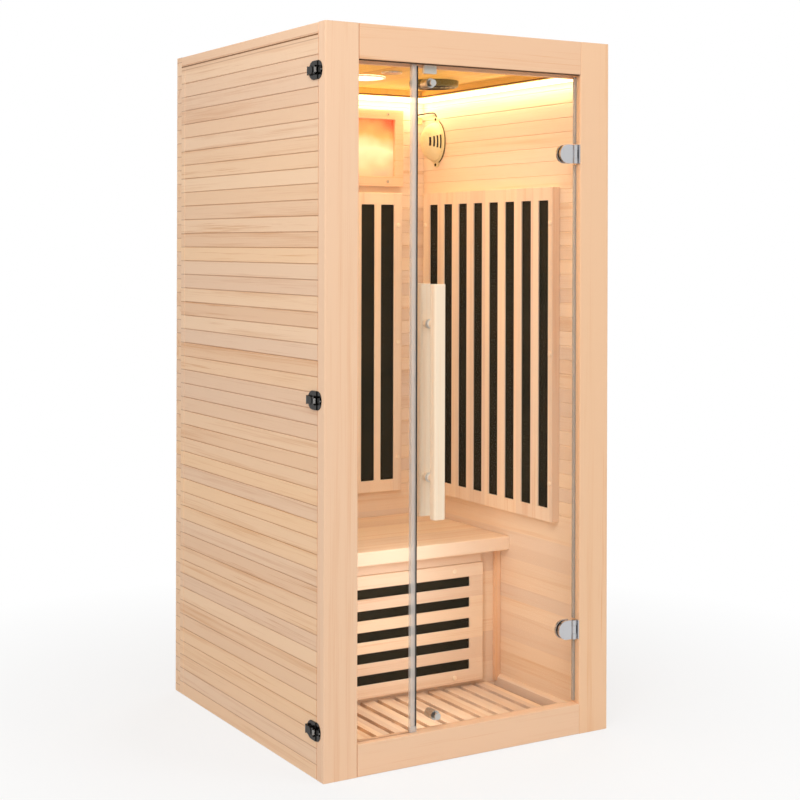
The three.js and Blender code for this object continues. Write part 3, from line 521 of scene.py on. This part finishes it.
def block(low, high, round_by=0.0):
    """A box between two corners with rounded edges."""
    low, high = Vector(low), Vector(high)
    choose()
    bpy.ops.mesh.primitive_cube_add(size=1, location=(low + high) / 2)
    piece = bpy.context.object
    piece.scale = high - low
    bpy.ops.object.transform_apply(location=False, rotation=False, scale=True)
    if round_by:
        bpy.ops.object.mode_set(mode="EDIT")
        bpy.ops.mesh.select_all(action="SELECT")
        bpy.ops.mesh.bevel(offset=round_by, segments=2, affect="EDGES")
        bpy.ops.object.mode_set(mode="OBJECT")
    return piece


def pattern(piece):
    """Keeps the mesh of a modelled piece for its copies and removes the piece itself."""
    mesh = piece.data
    bpy.data.objects.remove(piece)
    return mesh


def placed(mesh, place, facing="+z"):
    """A copy of a pattern with its own mesh."""
    piece = bpy.data.objects.new(mesh.name, mesh.copy())
    bpy.context.collection.objects.link(piece)
    piece.rotation_euler = TURNS[facing]
    piece.location = place
    return piece


def model_head(radius, height, dish, flats):
    """A round head on the origin: rounded rim, and a middle that is dished or raised."""
    choose()
    bpy.ops.mesh.primitive_cylinder_add(vertices=flats, radius=radius, depth=height)
    piece = bpy.context.object
    pick_faces(piece, (0, 0, 1))
    bpy.ops.mesh.bevel(offset=min(height, radius) * HEAD_ROUND, segments=2, affect="EDGES")
    bpy.ops.object.mode_set(mode="OBJECT")
    pick_faces(piece, (0, 0, 1), limit=0.999)
    bpy.ops.mesh.inset(thickness=radius * HEAD_INSET)
    bpy.ops.transform.translate(value=(0, 0, -height * dish))
    bpy.ops.object.mode_set(mode="OBJECT")
    piece.data.transform(Matrix.Translation((0, 0, height / 2)))
    return piece


def round_head(place, radius, height, facing, dish=0.35, flats=20):
    """A round head that stands on a surface at place; each size is modelled once."""
    size = (radius, height, dish, flats)
    if size not in HEAD_PATTERNS:
        HEAD_PATTERNS[size] = pattern(model_head(*size))
    return placed(HEAD_PATTERNS[size], place, facing)


def mirrored(piece, name, body):
    """A copy with its own mesh on the other side of the cabin."""
    copy = piece.copy()
    copy.data = piece.data.copy()
    bpy.context.collection.objects.link(copy)
    copy.data.transform(Matrix.Scale(-1, 4, (1, 0, 0)))
    copy.data.flip_normals()
    copy.name = copy.data.name = name
    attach(copy, body)


print("modelling tools ready")

# %% [markdown]
# ## Latch keepers and screws
# A twist latch pulls the wall to the post: its tongue hooks over a keeper on the post. The keeper is a thin
# plate with two rounded corners. It is modelled once, copied to three heights on the right side, and mirrored
# to the left. Small screws hold both halves of the latch.

# %% Latch keepers and screws
LATCHES = {"lower": 0.120, "middle": 0.950, "upper": 1.780}
KEEPER_REACH = 23 * MM
KEEPER_HALF = 24 * MM
KEEPER_LIFT = 0.1 * MM
KEEPER_THICK = 1 * MM
KEEPER_GAP = 0.3 * MM
KEEPER_ROUND = 0.9 * KEEPER_HALF
LATCH_SCREWS = {"front": (-16 * MM, 1.1 * MM), "rear": (39 * MM, 3.3 * MM)}  # along the wall, off the wall
LATCH_SCREW_R = 3.2 * MM
LATCH_SCREW_HIGH = 1.6 * MM
post_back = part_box("front_right_post")[1].y
wall_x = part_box("right_wall_cladding")[1].x
keeper_low = Vector((wall_x + KEEPER_LIFT, post_back - KEEPER_REACH, -KEEPER_HALF))
keeper_high = Vector((wall_x + KEEPER_LIFT + KEEPER_THICK, post_back - KEEPER_GAP, KEEPER_HALF))
keeper_middle = (keeper_low + keeper_high) / 2


def model_keeper():
    half = (keeper_high - keeper_low) / 2
    piece = block(-half, half)
    clear_choice(piece)
    for edge in piece.data.edges:
        start, end = (piece.data.vertices[v].co for v in edge.vertices)
        along_x = abs(start.x - end.x) > KEEPER_THICK / 2
        edge.select = along_x and start.y < 0
    bpy.ops.object.mode_set(mode="EDIT")
    bpy.ops.mesh.select_mode(type="EDGE")
    bpy.ops.mesh.bevel(offset=KEEPER_ROUND, segments=7, affect="EDGES")
    bpy.ops.object.mode_set(mode="OBJECT")
    return piece


keeper_pattern = pattern(model_keeper())
for where, z in LATCHES.items():
    keeper = placed(keeper_pattern, keeper_middle + Vector((0, 0, z)))
    settle(keeper, f"right_{where}_latch_keeper", latch_metal, "cabin")
    mirrored(keeper, f"left_{where}_latch_keeper", "cabin")
    for part, (along, lift) in LATCH_SCREWS.items():
        place = (wall_x + lift, post_back + along, z)
        screw = round_head(place, LATCH_SCREW_R, LATCH_SCREW_HIGH, "+x")
        settle(screw, f"right_{where}_latch_{part}_screw", steel, "cabin")
        mirrored(screw, f"left_{where}_latch_{part}_screw", "cabin")
print("latch keepers and screws placed at", list(LATCHES.values()))

# %% [markdown]
# ## Ribs on the latch turns
# Three ribs on each end of a turn give the fingers a hold, and their near white metal is a painted glint on
# the dark latch. A rib is a short bar with rounded edges. It turns with its latch, so it rides on the body of
# that turn.

# %% Latch ribs
RIB = Vector((1.2, 1.4, 13)) * MM
RIB_DEPTHS = (2.8 * MM, 4.6 * MM, 6.4 * MM)
# Near white metal: a painted glint, much brighter than the dark latch that the ribs sit on.
rib_glint_metal = metal("rib_glint_metal", screen(236, 234, 230), 0.2, 0.35)
rib_pattern = pattern(block(-RIB / 2, RIB / 2, round_by=0.3 * MM))
for where, z in LATCHES.items():
    turn_low, turn_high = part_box(f"right_{where}_latch_turn")
    for end, face_y in (("front", turn_low.y), ("rear", turn_high.y)):
        for count, depth in enumerate(RIB_DEPTHS, 1):
            rib = placed(rib_pattern, (turn_high.x - depth + RIB.x / 2, face_y, z))
            name = f"{where}_latch_{end}_rib_{count}"
            settle(rib, f"right_{name}", rib_glint_metal, f"right_{where}_latch_turn")
            mirrored(rib, f"left_{name}", f"left_{where}_latch_turn")
print("latch turn box", list(turn_low), list(turn_high))

# %% [markdown]
# ## Wooden plugs on the heater guards
# The guards are screwed to the wall, and a domed wooden plug covers each screw. A plug is a short cylinder
# with a bevelled rim and a middle that is raised a little. All are copies of one; only the places differ.

# %% Heater guard plugs
PLUG_R = 7 * MM
PLUG_HIGH = 3.5 * MM
PLUG_DOME = 0.15  # of its height
PLUG_LEVELS = (0.114, 0.5, 0.892)  # of the guard's height
PLUG_ROWS = {"front": 10.5 * MM, "rear": 13 * MM}  # in from the ends of a side guard
BACK_PLUG_IN = 15 * MM
CALF_PLUG_X = 226 * MM
CALF_PLUG_IN = 18 * MM


def plug(name, place, facing):
    piece = round_head(place, PLUG_R, PLUG_HIGH, facing, dish=-PLUG_DOME)
    settle(piece, name, grip_wood, "cabin")


guard_low, guard_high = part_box("right_heater_guard")
rows = {"front": guard_low.y + PLUG_ROWS["front"], "rear": guard_high.y - PLUG_ROWS["rear"]}
plug_heights = [guard_low.z + (guard_high.z - guard_low.z) * level for level in PLUG_LEVELS]
for count, z in enumerate(plug_heights, 1):
    for end, y in rows.items():
        plug(f"right_guard_{end}_plug_{count}", (guard_low.x, y, z), "-x")
        plug(f"left_guard_{end}_plug_{count}", (-guard_low.x, y, z), "+x")
back_low, back_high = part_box("back_heater_guard")
for count, z in enumerate(plug_heights, 1):
    plug(f"back_guard_right_plug_{count}", (back_high.x - BACK_PLUG_IN, back_low.y, z), "-y")
    plug(f"back_guard_left_plug_{count}", (back_low.x + BACK_PLUG_IN, back_low.y, z), "-y")
calf_low, calf_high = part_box("calf_heater_guard")
for side, x in (("right", CALF_PLUG_X), ("left", -CALF_PLUG_X)):
    plug(f"calf_guard_{side}_top_plug", (x, calf_low.y, calf_high.z - CALF_PLUG_IN), "-y")
    plug(f"calf_guard_{side}_low_plug", (x, calf_low.y, calf_low.z + CALF_PLUG_IN), "-y")
print("plugs at heights", [round(z, 3) for z in plug_heights])

# %% [markdown]
# ## Painted shade on the door edge, and a glass clip
# A black strip is painted shade: the dark slit between the door and the fixed pane. It is a long box with
# rounded edges that sits over the door's free edge and swings with the door. A small clear clip holds the
# foot of the fixed pane's seal.

# %% Door edge gap shade and glass clip
GAP_SHADE_LOW = Vector((-1.4, -1.2, 1)) * MM  # from the low corner of the door's free edge
GAP_SHADE_HIGH = Vector((1.8, 1.2, -1)) * MM  # from the high corner of that edge
CLIP_LOW = Vector((-4, -2.5, 0)) * MM  # from the low corner of the seal
CLIP_HIGH = Vector((17, -0.2, 15)) * MM
door_low, door_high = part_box("door_glass")
free_edge_top = Vector((door_low.x, door_high.y, door_high.z))
# A black strip of painted shade over the slit at the door's free edge.
strip = block(door_low + GAP_SHADE_LOW, free_edge_top + GAP_SHADE_HIGH, round_by=1 * MM)
settle(strip, "door_edge_gap_shade", gap_shade_and_screw_black, "door")
seal_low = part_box("fixed_glass_seal")[0]
clip = block(seal_low + CLIP_LOW, seal_low + CLIP_HIGH, round_by=0.8 * MM)
settle(clip, "fixed_glass_clip", seal_clear, "cabin")
print("gasket length", round(door_high.z - door_low.z, 3))

# %% [markdown]
# ## Painted shadow under the header
# A thin dark strip is painted shade: the shadow under the header, above the glass. It lies under the header,
# in front
# of the panes: a long flat bar with rounded edges.

# %% Painted shadow under the header
HEADER_GAP = 4 * MM  # from the door's top edge up to the header
HEADER_SHADE_IN_FRONT = (15 * MM, 1 * MM)  # of the door
HEADER_SHADE_BELOW = (2 * MM, 0.3 * MM)  # the header
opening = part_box("front_right_post")[0].x - 1 * MM
header_z = door_high.z + HEADER_GAP
# A dark brown bar painted as the shadow under the header.
header_shade = block(
    (-opening, door_low.y - HEADER_SHADE_IN_FRONT[0], header_z - HEADER_SHADE_BELOW[0]),
    (opening, door_low.y - HEADER_SHADE_IN_FRONT[1], header_z - HEADER_SHADE_BELOW[1]),
    round_by=0.5 * MM,
)
header_shade_brown = moulded("header_shade_brown", screen(74, 50, 28), *RUBBER)
settle(header_shade, "header_shadow_strip", header_shade_brown, "cabin")
print("draught strip under", round(header_z, 4))

# %% [markdown]
# ## Clear edge seal
# A clear profile covers the hinge edge of the door, in three lengths between the hinges. Each is a long bar
# with rounded edges.

# %% Edge seal
SEAL_ON = 5 * MM  # over the glass
SEAL_PAST = 0.6 * MM  # past its edge
SEAL_SIDE = 1 * MM
SEAL_END = 2 * MM
HINGE_GAP = 3 * MM
edge_seal = glass("edge_seal", screen(196, 196, 190), alpha=0.5)
stops = [door_low.z + SEAL_END]
for which in ("lower", "upper"):
    leaf_low, leaf_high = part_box(f"{which}_hinge_leaf")
    stops += [leaf_low.z - HINGE_GAP, leaf_high.z + HINGE_GAP]
stops.append(door_high.z - SEAL_END)
for count, (foot, top) in enumerate(zip(stops[0::2], stops[1::2]), 1):
    profile = block(
        (door_high.x - SEAL_ON, door_low.y - SEAL_SIDE, foot),
        (door_high.x + SEAL_PAST, door_high.y + SEAL_SIDE, top),
        round_by=0.8 * MM,
    )
    settle(profile, f"door_hinge_edge_seal_{count}", edge_seal, "door")
print("edge seal stops", [round(z, 3) for z in stops])

# %% [markdown]
# ## Cove beads and rim strips
# A dark bead runs along the foot of the cove, above the light strip, and a thin dark strip under the roof rim
# is painted shadow of the rim on the boards. They are long bars with rounded edges. The left ones mirror the
# right ones.

# %% Cove beads and rim strips
COVE_OUT = 24 * MM
BEAD = 2.2 * MM
BEAD_HIGH = 4 * MM
BEAD_LIFT = 0.8 * MM
BEAD_ROUND = 0.5 * MM
STRIP_THICK = 0.6 * MM
STRIP_BELOW = (6 * MM, 2.5 * MM)  # the rim
STRIP_END = 1 * MM
bead_and_rim_shade_brown = moulded("bead_and_rim_shade_brown", screen(132, 86, 40), *RUBBER)
led_low, led_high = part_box("led_strip")
bead_x = led_high.x - COVE_OUT
bead_y = led_high.y - COVE_OUT
bead_z = led_high.z + BEAD_LIFT
bead_top = bead_z + BEAD_HIGH
bead = block((bead_x - BEAD, led_low.y, bead_z), (bead_x, bead_y, bead_top), BEAD_ROUND)
settle(bead, "right_cove_bead", bead_and_rim_shade_brown, "cabin")
mirrored(bead, "left_cove_bead", "cabin")
bead = block((-bead_x, bead_y - BEAD, bead_z), (bead_x, bead_y, bead_top), BEAD_ROUND)
settle(bead, "back_cove_bead", bead_and_rim_shade_brown, "cabin")

rim_low, rim_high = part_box("roof_rim")
# A thin dark strip on the boards: painted shadow under the roof rim.
strip = block(
    (wall_x, post_back + STRIP_END, rim_low.z - STRIP_BELOW[0]),
    (wall_x + STRIP_THICK, rim_high.y - STRIP_END, rim_low.z - STRIP_BELOW[1]),
    round_by=0.2 * MM,
)
settle(strip, "right_rim_shadow_strip", bead_and_rim_shade_brown, "cabin")
mirrored(strip, "left_rim_shadow_strip", "cabin")
print("beads at", round(bead_z, 4), "rim", list(rim_low))

# %% [markdown]
# ## Screws and washers on the glass fittings
# Two screws in each hinge back plate pull the clamp onto the glass. The handle pegs stand on pale washers, so
# that wood never touches glass. Both are low round heads; the washers are made flat.

# %% Hinge screws and handle washers
HINGE_SCREW_IN = 15 * MM
HINGE_SCREW_APART = 13 * MM  # above and below the middle of the hinge
WASHER_APART = 200 * MM  # above and below the middle of the handle
WASHER_R = 12.5 * MM
WASHER_HIGH = 2 * MM
for which in ("upper", "lower"):
    clamp_low, clamp_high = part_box(f"{which}_hinge_clamp")
    plate_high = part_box(f"{which}_hinge_backplate")[1]
    middle = (clamp_low.z + clamp_high.z) / 2
    for count, lift in enumerate((-HINGE_SCREW_APART, HINGE_SCREW_APART), 1):
        place = (plate_high.x - HINGE_SCREW_IN, plate_high.y, middle + lift)
        head = round_head(place, 4.2 * MM, 1.2 * MM, "+y", dish=0.6)
        settle(head, f"{which}_hinge_rear_screw_{count}", steel, "door")
grip_low, grip_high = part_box("outer_handle")
grip = (grip_low + grip_high) / 2
for where, z in (("low", grip.z - WASHER_APART), ("high", grip.z + WASHER_APART)):
    washer = round_head((grip.x, door_low.y, z), WASHER_R, WASHER_HIGH, "-y", dish=0.0)
    settle(washer, f"outer_handle_{where}_washer", white_mould, "door")
    washer = round_head((grip.x, door_high.y, z), WASHER_R, WASHER_HIGH, "+y", dish=0.0)
    settle(washer, f"inner_handle_{where}_washer", white_mould, "door")
print("hinge screws and washers placed")

# %% [markdown]
# ## Painted shade inside the ioniser
# Behind the slots of the ioniser a black piece is painted shade, deeper than the shallow slots cast. It is
# half of a squashed sphere that reaches just to the bottom of the slots: a sphere is added, scaled, and cut
# in two with bisect.

# %% Painted shade inside the ioniser
ION_HALF_HEIGHT = 67 * MM
ION_WALL = 5 * MM
SHADE_BACK = 3 * MM  # the middle of the sphere, off the wall
SHADE_CUT = 6 * MM  # where it is cut, off the wall
ion_low, ion_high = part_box("ioniser")
ion_middle = (ion_low + ion_high) / 2
ion_half_width = (ion_high.y - ion_low.y) / 2
choose()
bpy.ops.mesh.primitive_uv_sphere_add(segments=32, ring_count=20, radius=1)
slot_shade = bpy.context.object
slot_shade.scale = (
    ion_high.x - ion_low.x - ION_WALL,
    ion_half_width - ION_WALL,
    ION_HALF_HEIGHT - ION_WALL,
)
slot_shade.location = (ion_high.x - SHADE_BACK, ion_middle.y, ion_middle.z)
bpy.ops.object.transform_apply(location=True, rotation=True, scale=True)
bpy.ops.object.mode_set(mode="EDIT")
bpy.ops.mesh.select_all(action="SELECT")
bpy.ops.mesh.bisect(
    plane_co=(ion_high.x - SHADE_CUT, 0, 0), plane_no=(1, 0, 0), use_fill=True, clear_outer=True
)
# Black: painted shade seen through the slots.
settle(slot_shade, "ioniser_slot_shade", black_mould, "cabin")
print("ioniser middle", list(ion_middle))

# %% [markdown]
# ### Rim and screws of the ioniser
# A rim round the foot of the housing is painted dark olive as shade, the shadow line along its edge: a low
# oval disc, bevelled. Two dark screws hold the housing.

# %% Ioniser rim and screws
RIM_OUT = 1.6 * MM
RIM_HIGH = 3 * MM
ION_SCREW_IN = 7 * MM
ION_SCREW_OFF = 6 * MM  # off the wall
choose()
bpy.ops.mesh.primitive_cylinder_add(vertices=40, radius=1, depth=1)
rim = bpy.context.object
rim.rotation_euler = TURNS["-x"]
rim.scale = (ION_HALF_HEIGHT + RIM_OUT, ion_half_width + RIM_OUT, RIM_HIGH)
rim.location = (ion_high.x - RIM_OUT, ion_middle.y, ion_middle.z)
bpy.ops.object.transform_apply(location=True, rotation=True, scale=True)
pick_faces(rim, (-1, 0, 0))
bpy.ops.mesh.bevel(offset=0.8 * MM, segments=2, affect="EDGES")
# Dark olive: painted shade along the foot of the housing.
olive_rim_shade = moulded("olive_rim_shade", screen(84, 70, 30), *RUBBER)
settle(rim, "ioniser_rim", olive_rim_shade, "cabin")
for where, z in (("top", ion_high.z - ION_SCREW_IN), ("low", ion_low.z + ION_SCREW_IN)):
    head = round_head((ion_high.x - ION_SCREW_OFF, ion_middle.y, z), 4.5 * MM, 2 * MM, "-x")
    settle(head, f"ioniser_{where}_screw", gap_shade_and_screw_black, "cabin")
print("ioniser rim", [round(size, 4) for size in rim.dimensions])

# %% [markdown]
# ## Rings of the lamp and the speakers
# The lamp has a pale ring round its diffuser and each speaker has rings in its grille. A ring starts as a
# torus, is flattened, and gets a shallow groove along its underside.

# %% Lamp ring and speaker rings
LAMP_RING_R = 71 * MM
LAMP_RING_LIFT = 1.2 * MM
SPEAKER_RINGS = (62 * MM, 48 * MM, 34 * MM, 20 * MM)
GROOVE_IN = 0.12  # of the tube's radius
GROOVE_DEEP = 0.1


def ring(place, radius, tube, flatten):
    choose()
    bpy.ops.mesh.primitive_torus_add(
        major_radius=radius, minor_radius=tube, major_segments=48, minor_segments=10, location=place
    )
    piece = bpy.context.object
    piece.scale.z = flatten
    pick_faces(piece, (0, 0, -1))
    bpy.ops.mesh.inset(thickness=tube * GROOVE_IN)
    bpy.ops.transform.translate(value=(0, 0, tube * GROOVE_DEEP))
    return piece


lamp_low, lamp_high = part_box("ceiling_lamp")
lamp = (lamp_low + lamp_high) / 2
pale_ring = ring((lamp.x, lamp.y, lamp_low.z + LAMP_RING_LIFT), LAMP_RING_R, tube=4 * MM, flatten=0.6)
settle(pale_ring, "lamp_ring", white_mould, "cabin")
drum_low, drum_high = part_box("left_speaker")
drum = (drum_low + drum_high) / 2
for count, radius in enumerate(SPEAKER_RINGS, 1):
    grille = ring((drum.x, drum.y, drum_low.z), radius, tube=2.2 * MM, flatten=0.7)
    settle(grille, f"left_speaker_ring_{count}", black_mould, "cabin")
    mirrored(grille, f"right_speaker_ring_{count}", "cabin")
print("rings at", list(lamp), list(drum))

# %% [markdown]
# ## Sensor and spot
# A small sensor sits high on the back wall: a box with rounded edges and a sunken face. A round spot with a
# dished middle hangs under the ceiling.

# %% Sensor and spot
SENSOR_LOW = (0.370, 0.4280, 1.734)
SENSOR_HIGH = (0.391, 0.4327, 1.756)
SENSOR_SUNK = 1.2 * MM
SPOT_PLACE = (0.011, -0.024, 1.840)
sensor = block(SENSOR_LOW, SENSOR_HIGH, round_by=1.2 * MM)
pick_faces(sensor, (0, -1, 0))
bpy.ops.mesh.inset(thickness=4 * MM)
bpy.ops.transform.translate(value=(0, SENSOR_SUNK, 0))
sensor_green = moulded("sensor_green", screen(196, 206, 150))
settle(sensor, "heat_sensor", sensor_green, "cabin")
spot = round_head(SPOT_PLACE, 30 * MM, 5 * MM, "-z", dish=0.5, flats=32)
settle(spot, "ceiling_spot", steel, "cabin")
print("sensor and spot placed")

# %% [markdown]
# ## Bench corner battens and panel screws
# An upright batten closes each corner between the bench front and the side wall. It is a box with eased
# edges, mirrored to the other corner. The colour panel's frame is held by small screws.

# %% Corner battens and frame screws
BATTEN = 20 * MM
BATTEN_DEEP = 14 * MM
BATTEN_FOOT = 31 * MM
BATTEN_GAP = 0.2 * MM
PANEL_SCREW_X = 252 * MM
PANEL_SCREW_IN = 16 * MM
front_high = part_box("bench_front")[1]
corner_x = front_high.x - BATTEN_GAP
batten = block(
    (corner_x - BATTEN, calf_high.y - BATTEN_DEEP, BATTEN_FOOT),
    (corner_x, calf_high.y, front_high.z),
    round_by=2 * MM,
)
settle(batten, "bench_right_corner_batten", post_wood, "cabin")
mirrored(batten, "bench_left_corner_batten", "cabin")
panel_low, panel_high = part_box("colour_panel_frame")
for side, x in (("right", PANEL_SCREW_X), ("left", -PANEL_SCREW_X)):
    for where, z in (("top", panel_high.z - PANEL_SCREW_IN), ("low", panel_low.z + PANEL_SCREW_IN)):
        head = round_head((x, panel_low.y, z), 4.5 * MM, 1.8 * MM, "-y")
        settle(head, f"colour_panel_{side}_{where}_screw", steel, "cabin")
print("battens and frame screws placed")

# %% [markdown]
# ## Studio
# The photograph has a white ground and a white background. The world is white for what the camera, a
# reflection or a pane sees, and gives a softer light to everything else.

# %% World
AMBIENT = 0.44
AMBIENT_COLOUR = (1.0, 0.985, 0.96, 1)
WHITE = (1, 1, 1, 1)


def seen_directly(tree):
    """1 for rays that come from the camera, a mirror or a pane, else 0."""
    path = node(tree, "LightPath").outputs
    first = maths(tree, "MAXIMUM", path["Is Camera Ray"], path["Is Glossy Ray"])
    return maths(tree, "MAXIMUM", first, path["Is Transmission Ray"])


world = bpy.data.worlds.new("studio")
scene.world = world
world.use_nodes = True
sky = world.node_tree
sky.nodes.clear()
dim = node(sky, "Background", [("Color", AMBIENT_COLOUR), ("Strength", AMBIENT)]).outputs[0]
white = node(sky, "Background", [("Color", WHITE), ("Strength", 1.0)]).outputs[0]
both = node(sky, "MixShader", [(0, seen_directly(sky)), (1, dim), (2, white)]).outputs[0]
node(sky, "OutputWorld", [("Surface", both)])
print("world light", AMBIENT)

# %% [markdown]
# ### Floor
# The floor fades to plain white away from the cabin, and keeps the cabin's shadow close to it. It lies a
# hair under the cabin, so that the two don't fight for the same plane.

# %% Floor
FLOOR_SIZE = 60.0
FLOOR_DROP = 1 * MM
FADE_START, FADE_END = 0.7, 1.9  # metres from the middle of the cabin
FADE_LEAST = 0.72
choose()
bpy.ops.mesh.primitive_plane_add(size=FLOOR_SIZE, location=(0, 0, -FLOOR_DROP))
floor = bpy.context.object
floor.name = "studio_floor"
paint, tree, shader = new_finish("studio_floor_white")
feed(tree, shader, [("Base Color", (0.86, 0.86, 0.86, 1)), ("Roughness", 0.9), ("Specular IOR Level", 0.0)])
far = node(tree, "VectorMath", [(0, object_place(tree))], operation="LENGTH").outputs["Value"]
fade = remap(tree, far, FADE_LEAST, 1.0, FADE_START, FADE_END)
amount = maths(tree, "MULTIPLY", fade, seen_directly(tree))
plain = node(tree, "Emission", [("Color", WHITE), ("Strength", 1.0)]).outputs[0]
laid = node(tree, "MixShader", [(0, amount), (1, shader.outputs[0]), (2, plain)]).outputs[0]
feed(tree, tree.nodes["Material Output"], [("Surface", laid)])
floor.data.materials.append(paint)
print("floor", FLOOR_SIZE, "m")

# %% [markdown]
# ## Light
# Large soft lamps light the outside: a key from the front left, a weaker fill from the front right, one on
# the upper left wall and one from behind. Inside, a warm lamp under the ceiling and three narrow ones along
# the cove stand for the light that the round lamp and the strip spread over the boards. A tall weak lamp
# behind the glass lifts the lower half of the cabin, as daylight through the front does. No lamp is seen by
# the camera or in a reflection.

# %% Lamps
DAYLIGHT = (1, 0.98, 0.96)
STRIP_COLOUR = (1, 0.88, 0.58)
STRIP_WIDTH = 0.02


def soft_lamp(name, place, target, size, power, colour=DAYLIGHT):
    data = bpy.data.lights.new(name, "AREA")
    data.size = size
    data.energy = power
    data.color = colour
    lamp = bpy.data.objects.new(name, data)
    scene.collection.objects.link(lamp)
    lamp.location = place
    lamp.rotation_euler = (Vector(target) - Vector(place)).to_track_quat("-Z", "Y").to_euler()
    lamp.visible_glossy = False
    lamp.visible_camera = False
    return lamp


def strip_lamp(name, place, target, length, power, width=STRIP_WIDTH, colour=STRIP_COLOUR):
    lamp = soft_lamp(name, place, target, length, power, colour)
    lamp.data.shape = "RECTANGLE"
    lamp.data.size_y = width


soft_lamp("key", (-2.9, -3.1, 3.5), (0, 0, 1.15), size=2.2, power=80)
soft_lamp("fill", (2.4, -3.6, 3.3), (0, 0, 1.1), size=2.4, power=48)
soft_lamp("cabin_light", (0, -0.05, 1.78), (0, 0, 0), size=0.5, power=1.5, colour=(1, 0.92, 0.8))
soft_lamp("wall_wash", (-1.9, -0.7, 3.3), (-0.45, 0, 1.5), size=1.2, power=14)
strip_lamp("back_strip_light", (0, 0.405, 1.80), (0, 0.44, 1.5), length=0.76, power=0.75)
strip_lamp("right_strip_light", (0.372, 0, 1.80), (0.41, 0, 1.5), length=0.82, power=0.8)
strip_lamp("left_strip_light", (-0.372, 0, 1.80), (-0.41, 0, 1.5), length=0.82, power=0.8)
strip_lamp(
    "cabin_front_light", (-0.03, -0.365, 0.8), (-0.03, 1, 0.72), 0.3, 2.5, width=1.3, colour=(1, 0.98, 0.97)
)
soft_lamp("back_fill", (2.8, 3.2, 2.6), (0, 0, 1.0), size=2.0, power=40)

# %% [markdown]
# ## Camera
# The camera stands to the front left at head height, level, with the frame shifted down so that uprights
# stay upright. Its place, lens and shift come from lining up the cabin's corners with the photograph.

# %% Camera
CAMERA = Vector((-2.25645, -3.89108, 1.34091))
CAMERA_YAW = math.radians(30.704)
CAMERA_ROLL = math.radians(-0.159)
camera_data = bpy.data.cameras.new("photo_camera")
camera_data.sensor_width = 36
camera_data.lens = 69.93
camera_data.shift_y = -0.19376
camera = bpy.data.objects.new("photo_camera", camera_data)
scene.collection.objects.link(camera)
camera.matrix_world = (
    Matrix.Translation(CAMERA)
    @ Matrix.Rotation(-CAMERA_YAW, 4, "Z")
    @ Matrix.Rotation(math.pi / 2, 4, "X")
    @ Matrix.Rotation(-CAMERA_ROLL, 4, "Z")
)
scene.camera = camera
print("camera at", list(CAMERA))
